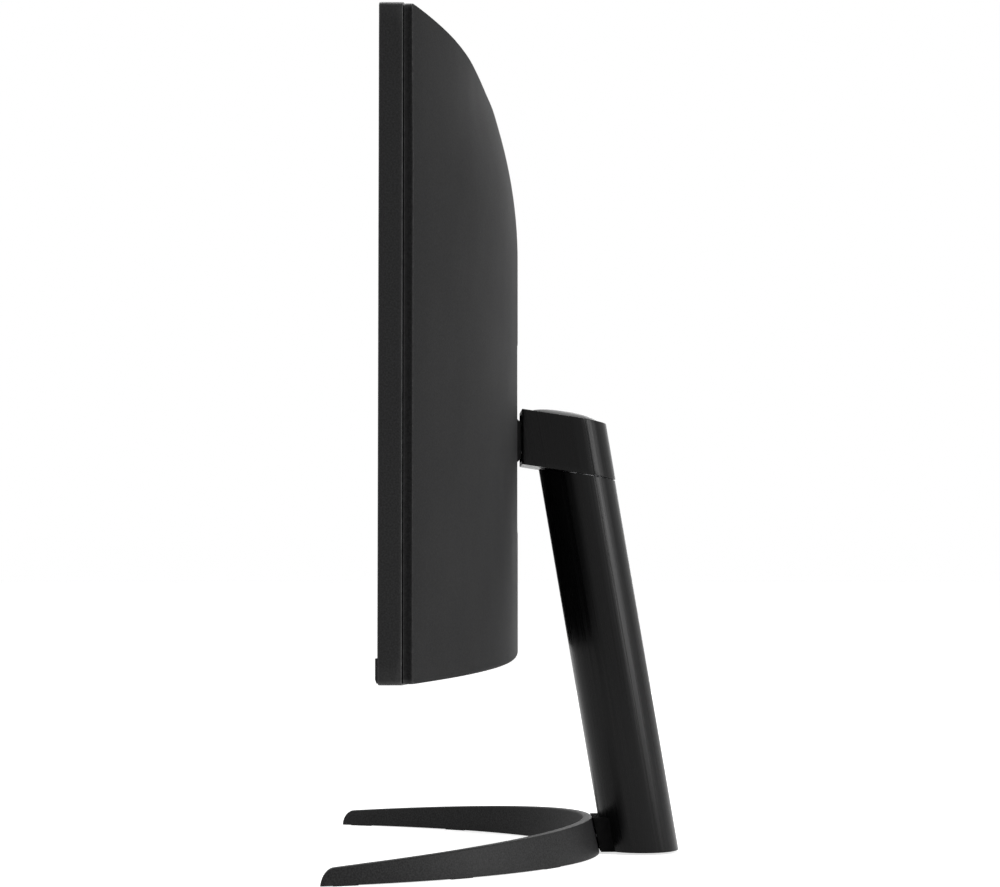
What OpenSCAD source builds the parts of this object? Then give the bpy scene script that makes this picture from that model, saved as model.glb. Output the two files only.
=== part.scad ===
// Curved desktop computer monitor on a leaning, height-adjustable column with an arc-shaped foot.
// The screen faces -Y, +X is the user's right and +Z is up. The origin is on the desk, at the
// middle of the whole object's box. Sizes are in millimetres and angles in degrees.

/* [Screen] */
// Width across the ends of the curved display, measured straight
screen_w = 810; // [675:1:972]
// Height of the display
panel_h = 363.5; // [330:0.5:437]
// Radius of the screen's curve
curve_r = 1800; // [1500:10:2160]
// Height of the display's bottom edge above the desk at the lowest setting
panel_lift = 133.7; // [115:0.1:160]
// Depth of the front frame's side wall
frame_d = 12.5; // [12:0.1:15]
// Thickness of the front frame's walls
frame_wall = 1.6; // [1.4:0.1:2]
// Width of the frame's thin front lip beside and above the screen
frame_lip = 2.2; // [2:0.1:3]
// Thickness of the frame's front lip
lip_t = 1.2; // [1:0.1:1.2]
// Radius of the display's corners, seen from the front
corner_r = 2.4; // [1:0.1:5]
// Height of the chin bar under the screen
chin_h = 14.3; // [12:0.1:18]
// How far the chin bar stands out in front of the frame
chin_proud = 1.0; // [0.6:0.1:1.5]
// Thickness of the screen's glass cell
cell_t = 1.6; // [1.2:0.1:1.6]

/* [Rear cover] */
// Depth of the rear cover's upright side wall
cover_edge_d = 4.4; // [4:0.1:8]
// Groove between the front frame and the rear cover
seam_gap = 0.6; // [0.4:0.1:1]
// How far the cover's edge is set in from the frame's edge
cover_inset = 0.6; // [0.4:0.1:1]
// Wall of the rear cover
cover_wall = 2.4; // [2:0.1:3]
// Depth from the frame's front to the cover's back, at the middle
centre_d = 40.8; // [38:0.1:50]
// Radius of the cover's bulge, seen from above
bulge_r = 1170; // [900:10:1400]
// Radius of the cover's rounded upper back
shoulder_r = 282; // [240:1:320]
// Distance from the display's top down to where that rounding starts
shoulder_drop = 92; // [70:1:110]
// Radius of the cover's lower back edge
heel_r = 5; // [3:0.5:8]
// Side of the square recess for the stand or a wall bracket
recess_w = 128; // [124:1:140]
// Depth of that recess
recess_d = 6; // [5:0.1:8]
// Width of the socket recess
pocket_w = 100; // [98:1:110]
// Width of the vent recess, which the cover's middle hides from the side
vent_w = 68; // [60:1:72]
// Height of the socket recess and of the vent recess
pocket_h = 30; // [28:1:34]
// Distance between the wall-mount holes, both ways
wall_mount_pitch = 100; // [100:1:104]
// Radius of the tapped wall-mount holes
wall_mount_hole_r = 2; // [2:0.1:2.5]

/* [Column and head] */
// Outer diameter of the column
column_d = 51; // [46:0.5:61]
// Wall of the column
column_wall = 2.2; // [1.8:0.1:2.5]
// Lean of the column, its top towards the screen
lean = 9.65; // [8:0.05:11.58]
// Height of the tilt hinge above the desk
hinge_z = 283.5; // [270:0.5:310]
// Distance from the head's front face to the column's axis at the hinge's height
head_reach = 35; // [34:0.1:42]
// Distance from the head's front face back to the hinge
hinge_inset = 14; // [13:0.1:16]
// Gap between the display's back and the head's front face
neck_gap = 2.7; // [2.5:0.1:5]
// Height of the head
head_h = 37.6; // [36:0.1:44]
// Slope of the head's top and bottom, down towards the back
head_slope = 8.6; // [6:0.1:9]
// Wall of the head's shell
head_wall = 2.2; // [1.8:0.1:2.4]
// Rise of the head's domed cap above the head's rim
cap_crown = 4.2; // [3:0.1:5]
// Travel of the height adjustment
height_travel = 110; // [80:1:110]
// Radius of the hinge pin
pin_r = 4; // [3:0.1:5]

/* [Foot] */
// Half the width of the ellipse that the foot follows
foot_a = 200; // [170:1:230]
// Half the depth of that ellipse
foot_b = 299; // [260:1:340]
// Distance from the foot's back to its front tips
foot_depth = 183.5; // [155:0.5:215]
// Height of the foot at its back
foot_h = 25; // [22:0.5:30]
// Height of the foot at its tips
tip_h = 10.5; // [8:0.5:14]
// Width of the foot's section at the bottom
foot_t = 8.5; // [7:0.1:12]
// Width of the foot's section at the top
foot_top_t = 6.2; // [5:0.1:8]
// How far the foot's outer wall leans in over its height at the back
foot_batter = 5.5; // [3:0.1:7]
// Thickness of the rubber pads under the foot
pad_t = 0.5; // [0.4:0.1:1.5]

/* [Fits] */
// Radial clearance of a sliding or turning fit
run_fit = 0.05; // [0.02:0.01:0.1]
// Gap between fixed pieces that only lie beside each other
seat_gap = 0.1; // [0.05:0.01:0.2]
// Radial gap of a pushed-in fit, such as a bush in its tube
push_fit = 0.02; // [0.01:0.01:0.04]

/* [Hidden] */

$fn = 64;
arc_fn = 256; // facets of the very large circles
beyond = 600; // reaches past the whole object, for what only cuts or bounds

// ---- Places along Y, first from the column's axis at the hinge's height, then in the row's frame
half_w = screen_w / 2;
column_r = column_d / 2;
column_foot_z = 1.6;
sagitta = curve_r - sqrt(curve_r * curve_r - half_w * half_w);
raw_head = -head_reach;
raw_cover = raw_head - neck_gap;
raw_front = raw_cover - centre_d;
raw_edge = raw_front - sagitta - chin_proud;
raw_column_foot = (hinge_z - column_foot_z) * tan(lean);
raw_back = raw_column_foot + column_r / cos(lean);
neck_span = 3; // between the foot's back and the column's front, at the desk
raw_foot_back = raw_column_foot - column_r / cos(lean) - neck_span;
raw_tip = raw_foot_back - foot_depth;
mid_shift = -(min(raw_edge, raw_tip) + raw_back) / 2;

head_y = raw_head + mid_shift;                 // head's front face
hinge_y = head_y + hinge_inset;
cover_y = raw_cover + mid_shift;               // rear cover's rearmost line
front_y = raw_front + mid_shift;               // frame's front face at the middle
curve_y = front_y - curve_r;                   // centre of the screen's curve
column_y = raw_column_foot + mid_shift;        // column's axis at its foot
foot_back_y = raw_foot_back + mid_shift;

// ---- Heights of the display
low_z = panel_lift;
top_z = panel_lift + panel_h;
shoulder_z = top_z - shoulder_drop;

// ---- Layers of the screen, as depths behind the frame's front face
cell_d = lip_t + seat_gap;
ledge_d = cell_d + cell_t + seat_gap;
ledge_t = 0.5;
sheets_d = ledge_d + ledge_t + seat_gap;
sheets_t = 0.8;
guide_d = sheets_d + sheets_t + seat_gap;
guide_t = 3;
reflector_d = guide_d + guide_t + seat_gap;
reflector_t = 0.3;
chassis_d = reflector_d + reflector_t + seat_gap;
chassis_t = 1;
chassis_back_d = chassis_d + chassis_t;
edge_d = frame_d + seam_gap + cover_edge_d;    // whole depth at the display's side edge

// ---- Outlines of the screen's layers: half widths and lower and upper edges
mid_half = half_w - frame_wall - 2 * seat_gap;
mid_low = low_z + 5;
mid_top = top_z - frame_wall - 2 * seat_gap;
mid_wall = 1.2;
cell_half = mid_half - mid_wall - seat_gap;
cell_low = mid_low + mid_wall + seat_gap;
cell_top = mid_top - mid_wall - seat_gap;
guide_half = cell_half - chassis_t - seat_gap;
led_low = cell_low + chassis_t + seat_gap;
led_h = 2.5;
guide_low = led_low + led_h + 0.8;
guide_top = cell_top - chassis_t - seat_gap;

// ---- Boards, sockets and the bottom joystick
board_gap = 1.5;                               // least gap between the chassis and a board
board_t = 1.6;
board_low = low_z + 12.3;
board_h = 68;
board_w = 115;
board_in = 45;                                 // nearest a board comes to the middle
board_y = curve_y + curve_r + chassis_back_d + board_gap;
board_back_y = board_y + board_t;
socket_len = 11.5;
pocket_x = -(board_in + 5 + pocket_w / 2);     // middle of the socket recess
pocket_z = low_z + 32.3;
vent_x = -4;                                   // middle of the vent recess
vent_z = pocket_z + 6;                         // clears the joystick's board below it
plate_t = 1.2;
socket_proud = 0.8;
plate_y = board_back_y + socket_len - socket_proud - plate_t;
pocket_floor_t = 2.4;
pocket_y = plate_y + plate_t + seat_gap + pocket_floor_t;   // outer face of both pockets' floors
floor_rim = 3;                                 // what is left of a pocket's floor around its opening
hdmi_x = -[75, 94];
display_port_x = -113;
dc_x = -58.5;
headphone_x = -128;
lock_x = -141;
dc_body = 9.5;
dc_hole_r = 3.3;
dc_pin_r = 0.7;
headphone_barrel_r = 3.2;
headphone_hole_r = 1.8;
lock_w = 7;
lock_h = 3;

recess_y = cover_y - recess_d;                 // recess floor, outer face
bracket_y = recess_y - cover_wall - seat_gap;  // back face of the steel bracket behind it
bracket_t = 1.6;
bracket_w = recess_w + 4;

stick_y = front_y + frame_d + 12;
stick_hole_r = 8.2;
stick_pivot_z = low_z + 11;
cap_r = 5.6;

// ---- Column, in its own frame with Z along its axis
tube_in_r = column_r - column_wall;
inner_r = tube_in_r - 1.3;
inner_wall = 2;
inner_in_r = inner_r - inner_wall;
hinge_share = 0.61;                            // share of the head's height that is below the hinge
seam_z = hinge_z - hinge_share * head_h;       // where the head's underside meets the column's axis
seam_y = column_y - (seam_z - column_foot_z) * tan(lean);
seam_clear = 0.6;                              // dark line between the head and the column
inner_drop = 14.5;                             // from the hinge's height down to the inner column's top
inner_top = (hinge_z - column_foot_z) / cos(lean) - inner_drop;
inner_low = 60;
bush_h = 22;
tube_top_w = (seam_z - column_foot_z) / cos(lean);
head_half = column_r + 0.5;
cap_rim = 0.9;                                 // what is left of the head's wall around its cap
cap_from = 2;                                  // from the head's front face to its cap's seat
throat_gap = 0.4;                              // around the inner column where it enters the head
throat_over = 5;

rod_r = 4;
rod_low = 30;
cylinder_r = 9;
cylinder_in_r = 7;
cylinder_low = 14;
cylinder_seat = 4.2;                           // height of the strut's foot in its block
cylinder_base_t = 3.8;
rod_top_gap = 6;
piston_h = 8;
gland_h = 6;
cylinder_top = rod_low + piston_h + height_travel + gland_h + 1;

knuckle_r = 10.5;
knuckle_half = 14.5;
washer_t = 0.5;
arm_t = 4;
arm_in = knuckle_half + washer_t + 2 * run_fit;

// ---- Helpers

// Puts a child drawn around the Z axis onto the leaning column's axis
module on_column() {
    translate([0, column_y, column_foot_z])
        rotate([lean, 0, 0])
            children();
}

// Cylinder along X, centred on x = 0
module bar_x(r, len) {
    rotate([0, 90, 0])
        cylinder(r = r, h = len, center = true);
}

// Extrudes a flat outline, drawn as X and Z, along Y from y0 to y1
module along_y(y0, y1) {
    translate([0, y1, 0])
        rotate([90, 0, 0])
            linear_extrude(y1 - y0)
                children();
}

// Extrudes a flat outline, drawn as Y and Z, along X by a full width centred on x = 0
module along_x(width) {
    rotate([90, 0, 90])
        linear_extrude(width, center = true)
            children();
}

// Rectangle with round corners made of exact arcs
module round_rect(x0, z0, x1, z1, r) {
    translate([x0 + r, z0])
        square([x1 - x0 - 2 * r, z1 - z0]);
    translate([x0, z0 + r])
        square([x1 - x0, z1 - z0 - 2 * r]);
    for (x = [x0 + r, x1 - r], z = [z0 + r, z1 - r])
        translate([x, z])
            circle(r = r, $fn = 32);
}

// Disc whose rim is the screen's curve, set back by a depth
module curve_disc(depth) {
    translate([0, curve_y])
        circle(r = curve_r + depth, $fn = arc_fn);
}

// Curved slab between two depths, a half width to each side and two heights
module slab(d0, d1, half, z0, z1) {
    translate([0, 0, z0])
        linear_extrude(z1 - z0)
            intersection() {
                difference() {
                    curve_disc(d1);
                    curve_disc(d0);
                }
                translate([-half, curve_y + curve_r / 2])
                    square([2 * half, curve_r]);
            }
}

// Curved slab with round corners, seen from the front
module round_slab(d0, d1, half, z0, z1, r) {
    intersection() {
        slab(d0, d1, half + 5, z0 - 1, z1 + 1);
        along_y(curve_y + curve_r / 2, curve_y + 2 * curve_r)
            round_rect(-half, z0, half, z1, r);
    }
}

// ---- Foot

function foot_angle0() = asin(1 - foot_depth / foot_b);
function foot_share(t) = (sin(t) - sin(foot_angle0())) / (1 - sin(foot_angle0()));
function foot_height(t) = tip_h + (foot_h - tip_h) * foot_share(t);
// How far the section at an angle has turned from facing X, at a tip, to facing outwards
square_span = 6;
function foot_turn(t) =
    min(1, (t - foot_angle0()) / square_span, (180 - foot_angle0() - t) / square_span);
function foot_point(t, inset) =
    let (n = [cos(t) / foot_a, sin(t) / foot_b * foot_turn(t)])
    [foot_a * cos(t), foot_back_y - foot_b + foot_b * sin(t)] - inset * n / norm(n);
tip_round = 6;                                 // length of the rounding on top of each tip
tip_steps = 5;
tip_span = tip_round / norm([foot_a * sin(foot_angle0()), foot_b * cos(foot_angle0())]) * 180 / PI;
arc_steps = 40;
// Angle along the ellipse and share of the full height, from the right tip to the left one
foot_stations = concat(
    [for (k = [0:tip_steps - 1]) let (p = 90 * k / tip_steps)
        [foot_angle0() + tip_span * (1 - cos(p)), 0.5 + 0.5 * sin(p)]],
    [for (k = [0:arc_steps]) let (t0 = foot_angle0() + tip_span)
        [t0 + (180 - 2 * t0) * k / arc_steps, 1]],
    [for (k = [tip_steps - 1:-1:0]) let (p = 90 * k / tip_steps)
        [180 - foot_angle0() - tip_span * (1 - cos(p)), 0.5 + 0.5 * sin(p)]]);
// Four corners of the section at a station: outer and inner bottom, inner and outer top
function foot_section(s) =
    let (h = foot_height(s[0]) * s[1], lean_in = foot_batter * h / foot_h)
    let (ob = foot_point(s[0], 0), ib = foot_point(s[0], foot_t))
    let (it = foot_point(s[0], lean_in + foot_top_t), ot = foot_point(s[0], lean_in))
    [[ob.x, ob.y, pad_t], [ib.x, ib.y, pad_t], [it.x, it.y, h], [ot.x, ot.y, h]];

module base_ring() {
    count = len(foot_stations);
    points = [for (s = foot_stations) each foot_section(s)];
    sides = [for (i = [0:count - 2], j = [0:3])
        [4 * i + j, 4 * i + (j + 1) % 4, 4 * i + 4 + (j + 1) % 4, 4 * i + 4 + j]];
    ends = [[3, 2, 1, 0], [for (j = [0:3]) 4 * (count - 1) + j]];
    color("#1c1c1d")
        difference() {
            polyhedron(points, concat(sides, ends), convexity = 6);
            base_screw_places()
                base_screw_shape(seat_gap);
        }
}

pad_angles = [90, 62, 118, 43, 137, 26, 154];
module foot_pads() {
    color("#101010")
        for (t = pad_angles) {
            p = foot_point(t, foot_t / 2);
            turn = atan2(foot_b * cos(t), -foot_a * sin(t));
            translate([p.x, p.y, pad_t / 2])
                rotate([0, 0, turn])
                    cube([16, foot_t - 3, pad_t], center = true);
        }
}

// The two screws that hold the neck run back through the foot, low on each side of the middle
neck_half = 17;
neck_top = foot_h - 0.3;
screw_z = foot_h / 2;
module base_screw_places() {
    for (x = [-9, 9])
        translate([x, foot_back_y - foot_batter * screw_z / foot_h - foot_t, screw_z])
            rotate([-90, 0, 0])
                children();
}

base_screw_r = 1.75;
base_screw_head_r = 3.3;
module base_screw_shape(grow) {
    cylinder(r = base_screw_r + grow, h = foot_t + 4);
    translate([0, 0, -1])
        cylinder(r = base_screw_head_r + grow, h = 3.5);
}

module base_screws() {
    color("#3a3a3c")
        base_screw_places()
            difference() {
                intersection() {
                    base_screw_shape(0);
                    translate([0, 0, 0.6])
                        cylinder(r = 6, h = foot_t + 3);
                }
                cylinder(r = 1.5, h = 2.4, $fn = 6);
            }
}

// Block that carries the column on the foot, with a disc that fills the column's open end
neck_disc_z = column_foot_z + 6.2;
tongue_half = 11.8;
module neck_block() {
    lean_in = foot_batter * neck_top / foot_h;
    intersection() {
        along_x(2 * neck_half)
            polygon([
                [foot_back_y + seat_gap, column_foot_z],
                [column_y, column_foot_z],
                [column_y, neck_top],
                [foot_back_y - lean_in + seat_gap, neck_top]]);
        translate([-neck_half, foot_back_y - 20, 0])
            cube([2 * neck_half, 80, neck_top]);
    }
}

module base_neck() {
    color("#161617")
        difference() {
            union() {
                difference() {
                    neck_block();
                    on_column()
                        translate([0, 0, -20])
                            cylinder(r = column_r + seat_gap, h = 80);
                }
                translate([-tongue_half, foot_back_y + 1, column_foot_z])
                    cube([2 * tongue_half, column_y - foot_back_y, neck_disc_z - column_foot_z]);
                translate([0, column_y, column_foot_z])
                    cylinder(r = tube_in_r - 1.6, h = neck_disc_z - column_foot_z);
            }
            base_screw_places()
                base_screw_shape(seat_gap);
            translate([0, column_y, 0])
                thumb_screw_shape(seat_gap);
        }
}

module thumb_screw_shape(grow) {
    translate([0, 0, column_foot_z - 1])
        cylinder(r = 9 + grow, h = 4 + grow);
    cylinder(r = 3 + grow, h = column_foot_z + 16);
}

module base_thumb_screw() {
    color("#8a8a8c")
        translate([0, column_y, 0])
            difference() {
                intersection() {
                    thumb_screw_shape(0);
                    translate([0, 0, column_foot_z])
                        cylinder(r = 12, h = 40);
                }
                translate([-7, -0.9, 0])
                    cube([14, 1.8, column_foot_z + 1.2]);
            }
}

// ---- Column

// Everything above the desk end of the column
module above_column_foot() {
    translate([-beyond / 2, column_y - beyond / 2, column_foot_z])
        cube(beyond);
}

// Everything below a plane parallel to the head's underside
module below_seam(drop) {
    translate([0, seam_y, seam_z - drop])
        rotate([-head_slope, 0, 0])
            translate([-beyond / 2, -beyond / 2, -beyond])
                cube(beyond);
}

key_w = 6;
key_h = 0.9;
module column_tube() {
    color("#0d0d0e")
        intersection() {
            difference() {
                on_column()
                    translate([0, 0, -10])
                        cylinder(r = column_r, h = 320);
                on_column()
                    cylinder(r = tube_in_r, h = beyond, center = true);
                translate([-tongue_half - 2 * seat_gap, column_y - 60, 0])
                    cube([2 * tongue_half + 4 * seat_gap, 60, neck_disc_z + 2 * seat_gap]);
                on_column()
                    translate([-key_w / 2 - run_fit, 0, inner_low - 6])
                        cube([key_w + 2 * run_fit, tube_in_r + key_h, 300]);
            }
            above_column_foot();
            below_seam(seam_clear);
        }
}

foot_block_z = neck_disc_z + seat_gap;
module column_foot_block() {
    color("#5a5a5c")
        difference() {
            intersection() {
                on_column()
                    cylinder(r = tube_in_r - run_fit, h = 24);
                translate([-50, column_y - 60, foot_block_z])
                    cube([100, 120, 60]);
            }
            translate([0, column_y, 0])
                thumb_screw_shape(run_fit);
            on_column()
                translate([0, 0, cylinder_low + 4])
                    cylinder(r = cylinder_r + run_fit, h = 30);
        }
}

module column_top_bush() {
    color("#3c3c3a")
        intersection() {
            on_column()
                translate([0, 0, tube_top_w - bush_h])
                    difference() {
                        cylinder(r = tube_in_r - push_fit, h = bush_h + 10);
                        translate([0, 0, -1])
                            cylinder(r = inner_r + run_fit, h = bush_h + 20);
                    }
            below_seam(seam_clear + 0.4);
        }
}

module lift_cylinder() {
    color("#2b2b2d")
        on_column()
            difference() {
                translate([0, 0, cylinder_low + cylinder_seat])
                    cylinder(r = cylinder_r, h = cylinder_top - cylinder_low - cylinder_seat);
                translate([0, 0, cylinder_low + cylinder_seat + cylinder_base_t])
                    cylinder(r = cylinder_in_r, h = beyond);
            }
}

module lift_gland() {
    color("#b8b8b4")
        on_column()
            translate([0, 0, cylinder_top - gland_h])
                difference() {
                    cylinder(r = cylinder_in_r - push_fit, h = gland_h);
                    translate([0, 0, -1])
                        cylinder(r = rod_r + run_fit, h = gland_h + 2);
                }
}

// ---- Carriage

module column_screw_places() {
    for (side = [-1, 1])
        translate([0, 0, inner_top - 12])
            rotate([0, side * 90, 0])
                children();
}

module column_screw_shape(grow) {
    translate([0, 0, 12])
        cylinder(r = 2 + grow, h = inner_r - 12 - 1.6);
    translate([0, 0, inner_r - 1.7])
        cylinder(r = 3.6 + grow, h = 1.2 + 6 * grow);
}

module inner_column() {
    color("#a9abad")
        on_column()
            difference() {
                translate([0, 0, inner_low])
                    cylinder(r = inner_r, h = inner_top - inner_low);
                translate([0, 0, inner_low - 1])
                    cylinder(r = inner_in_r, h = inner_top);
                column_screw_places()
                    column_screw_shape(seat_gap);
            }
}

glide_h = 16;
glide_floor = 4;                               // part of the glide below the inner column
module column_lower_glide() {
    color("#d8d6cc")
        on_column()
            translate([0, 0, inner_low - glide_floor])
                difference() {
                    union() {
                        cylinder(r = tube_in_r - run_fit, h = glide_h);
                        translate([-key_w / 2, 0, 0])
                            cube([key_w, tube_in_r + key_h - 2 * run_fit, glide_h]);
                    }
                    translate([0, 0, -1])
                        cylinder(r = inner_in_r - 1, h = glide_h + 2);
                    translate([0, 0, glide_floor - push_fit])
                        cylinder(r = inner_r + push_fit, h = glide_h);
                }
}

module lift_rod() {
    color("#c9cbcd")
        on_column() {
            translate([0, 0, rod_low])
                cylinder(r = rod_r, h = inner_top - rod_top_gap - rod_low);
            translate([0, 0, rod_low])
                cylinder(r = cylinder_in_r - run_fit, h = piston_h);
        }
}

module column_screws() {
    color("#3a3a3c")
        on_column()
            column_screw_places()
                difference() {
                    column_screw_shape(0);
                    translate([0, 0, inner_r - 1.3])
                        cylinder(r = 1.4, h = 4, $fn = 6);
                }
}

// Outline of the head, seen along the column: round at the back, straight towards the screen
module head_outline(grow) {
    circle(r = head_half + grow);
    translate([-head_half - grow, -90])
        square([2 * (head_half + grow), 90]);
}

module head_prism(grow) {
    intersection() {
        on_column()
            linear_extrude(beyond)
                head_outline(grow);
        translate([-beyond / 2, head_y, 0])
            cube(beyond);
    }
}

// Space between two planes parallel to the head's underside, given as heights above it
module head_layer(z0, z1) {
    translate([0, seam_y, seam_z])
        rotate([-head_slope, 0, 0])
            translate([-beyond / 2, -beyond / 2, z0])
                cube([beyond, beyond, z1 - z0]);
}

module head_shell() {
    color("#0c0c0d")
        difference() {
            intersection() {
                head_prism(0);
                head_layer(0, head_h);
            }
            intersection() {
                on_column()
                    linear_extrude(beyond)
                        head_outline(-head_wall);
                head_layer(head_wall, head_h - head_wall);
            }
            intersection() {
                on_column()
                    linear_extrude(beyond)
                        head_outline(-cap_rim);
                translate([-beyond / 2, head_y + cap_from, 0])
                    cube(beyond);
                head_layer(head_h - head_wall - 1, head_h + 1);
            }
            on_column()
                cylinder(r = inner_r + throat_gap, h = inner_top + throat_over);
        }
}

// The cap's dome meets the rim's plane at the cap's sides. Along the head, in that plane and from
// the head's middle line, its top is halfway between the cap's front and back.
crown_half = head_half - cap_rim - seat_gap;
crown_r = (crown_half * crown_half + cap_crown * cap_crown) / (2 * cap_crown);
cap_front_t = (head_y + cap_from - seam_y - head_h * sin(head_slope)) / cos(head_slope);
cap_back_t = crown_half / cos(lean + head_slope) - head_h * tan(lean + head_slope);
crown_t = (cap_front_t + cap_back_t) / 2;
// Pillow where two large crossed barrels meet: highest in the middle, falling to every side
module crown_barrels() {
    intersection() {
        rotate([0, 90, 0])
            cylinder(r = crown_r, h = 4 * crown_half, center = true, $fn = arc_fn);
        rotate([90, 0, 0])
            cylinder(r = crown_r, h = 4 * crown_half, center = true, $fn = arc_fn);
    }
}

module head_top_cap() {
    color("#1a1a1c")
        intersection() {
            on_column()
                linear_extrude(beyond)
                    head_outline(-cap_rim - seat_gap);
            translate([-beyond / 2, head_y + cap_from + seat_gap, 0])
                cube(beyond);
            head_layer(head_h - head_wall, head_h + 10);
            translate([0, seam_y, seam_z])
                rotate([-head_slope, 0, 0])
                    translate([0, crown_t, head_h + cap_crown - crown_r])
                        crown_barrels();
        }
}

plug_h = 26;                                   // plug of the bracket inside the inner column
module head_bracket() {
    color("#4a4b4e")
        difference() {
            union() {
                on_column() {
                    translate([0, 0, inner_top - plug_h])
                        cylinder(r = inner_in_r - run_fit, h = plug_h + 0.1);
                    translate([0, 0, inner_top + run_fit])
                        cylinder(r = inner_r, h = 3);
                }
                for (side = [-1, 1])
                    translate([side * (arm_in + arm_t / 2), 0, 0])
                        along_x(arm_t)
                            bracket_arm_outline();
            }
            translate([0, hinge_y, hinge_z])
                bar_x(pin_r + push_fit, 120);
            on_column() {
                translate([0, 0, inner_top - plug_h - 1])
                    cylinder(r = rod_r + push_fit, h = plug_h - 5);
                column_screw_places()
                    column_screw_shape(push_fit);
            }
        }
}

// Side view of one arm: round at the pin, widening down to the flange on the column
module bracket_arm_outline() {
    flange_y = column_y - (inner_top + 1) * sin(lean);
    flange_z = column_foot_z + (inner_top + 1) * cos(lean);
    translate([hinge_y, hinge_z])
        circle(r = 9);
    polygon([
        [hinge_y, hinge_z + 9],
        [flange_y + 4, hinge_z + 4],
        [flange_y + 10, flange_z + 5],
        [flange_y + 10, flange_z + 10 * tan(lean)],
        [flange_y - 10, flange_z - 10 * tan(lean)],
        [hinge_y + 6.4, hinge_z - 6.4],
        [hinge_y, hinge_z]]);
}

pin_half = arm_in + arm_t;
module hinge_pin() {
    color("#b5b7b9")
        translate([0, hinge_y, hinge_z]) {
            translate([0.7, 0, 0])
                bar_x(pin_r, 2 * pin_half + 5);
            translate([-pin_half - seat_gap - 1, 0, 0])
                bar_x(6.5, 2);
        }
}

module hinge_washers() {
    color("#c2b280")
        for (side = [-1, 1])
            translate([side * (knuckle_half + run_fit + washer_t / 2), hinge_y, hinge_z])
                difference() {
                    bar_x(9, washer_t);
                    bar_x(pin_r + run_fit, 2);
                }
}

module hinge_nut() {
    color("#8f9193")
        translate([pin_half + seat_gap + 1.75, hinge_y, hinge_z])
            difference() {
                rotate([0, 90, 0])
                    cylinder(r = 7, h = 3.5, center = true, $fn = 6);
                bar_x(pin_r + push_fit, 10);
            }
}

// ---- Display: what the head carries

leaf_half = 38;
leaf_t = 3;
neck_low = -15.5;
neck_high = 14;
neck_x = 20;
module mount_leaf() {
    color("#131314")
        difference() {
            union() {
                along_y(recess_y + seat_gap, recess_y + leaf_t)
                    round_rect(-leaf_half, hinge_z - leaf_half, leaf_half, hinge_z + leaf_half, 6);
                along_x(2 * neck_x)
                    translate([0, hinge_z])
                        polygon([
                            [recess_y + 1, neck_low],
                            [head_y - 3.3, neck_low],
                            [head_y - 0.3, neck_low + 3],
                            [head_y - 0.3, neck_high - 2.5],
                            [head_y - 2.8, neck_high],
                            [recess_y + 1, neck_high]]);
                translate([-knuckle_half, head_y - 2, hinge_z - 8])
                    cube([2 * knuckle_half, hinge_inset, 16]);
                translate([0, hinge_y, hinge_z])
                    bar_x(knuckle_r, 2 * knuckle_half);
                for (x = [-hook_x, hook_x])
                    translate([x - 5, 0, 0])
                        leaf_hook();
                leaf_catch();
            }
            translate([0, hinge_y, hinge_z])
                bar_x(pin_r + run_fit, 100);
            translate([-latch_half - 0.5, latch_y + 0.1, catch_z - 1])
                cube([2 * latch_half + 1, 2.2, latch_top - catch_z + 1]);
        }
}

hook_x = 22;
hook_z = 26;
hook_drop = 7;
module leaf_hook() {
    back = bracket_y - bracket_t;
    translate([0, back - 2.4, hinge_z + hook_z])
        cube([10, recess_y + 1 - back + 2.4, 3]);
    translate([0, back - 2.4, hinge_z + hook_z])
        cube([10, 2.2, hook_drop]);
}

// Tongue at the leaf's lower edge that the release latch holds
latch_half = 6;
catch_half = 9;
catch_z = hinge_z - leaf_half + 3;
latch_top = catch_z + 1.6;
module leaf_catch() {
    translate([-catch_half, bracket_y - bracket_t - 8, catch_z])
        cube([2 * catch_half, recess_y + 1 - bracket_y + bracket_t + 8, 4]);
}

// Slots that the hooks and the tongue pass, cut in the cover's recess and in the bracket
module leaf_slots() {
    for (x = [-hook_x, hook_x])
        translate([x - 6, bracket_y - 30, hinge_z + hook_z - 1])
            cube([12, 60, hook_drop + 3]);
    translate([-catch_half - 1, bracket_y - 30, catch_z - 1])
        cube([2 * catch_half + 2, 60, 6]);
}

flange_x = bracket_w / 2 - 2;
module mount_bracket() {
    foot_y = curve_y + sqrt(pow(curve_r + chassis_back_d, 2) - flange_x * flange_x) - 4;
    color("#9a9da0")
        difference() {
            union() {
                along_y(bracket_y - bracket_t, bracket_y)
                    round_rect(-bracket_w / 2, hinge_z - bracket_w / 2,
                               bracket_w / 2, hinge_z + bracket_w / 2, 4);
                for (side = [-1, 1])
                    translate([side * flange_x - bracket_t / 2, foot_y, hinge_z - bracket_w / 2 + 8])
                        cube([bracket_t, bracket_y - foot_y, bracket_w - 16]);
                for (side = [-1, 1])
                    translate([side * (flange_x - 5) - 6, foot_y, hinge_z - bracket_w / 2 + 8])
                        cube([12, 6.5, bracket_w - 16]);
                wall_mount_places()
                    translate([0, 0, -12])
                        cylinder(r = 4.5, h = 12);
                translate([-3, latch_y, spring_low - 1.5])
                    cube([6, bracket_y - latch_y, 1.4]);
            }
            translate([0, 0, hinge_z - bracket_w])
                linear_extrude(2 * bracket_w)
                    curve_disc(chassis_back_d + seat_gap);
            wall_mount_places()
                translate([0, 0, -20])
                    cylinder(r = wall_mount_hole_r, h = 40);
            leaf_slots();
            latch_window();
            bracket_screw_places()
                bracket_screw_shape(seat_gap);
        }
}

module wall_mount_places() {
    for (x = [-0.5, 0.5], z = [-0.5, 0.5])
        translate([x * wall_mount_pitch, bracket_y, hinge_z + z * wall_mount_pitch])
            rotate([-90, 0, 0])
                children();
}

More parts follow.
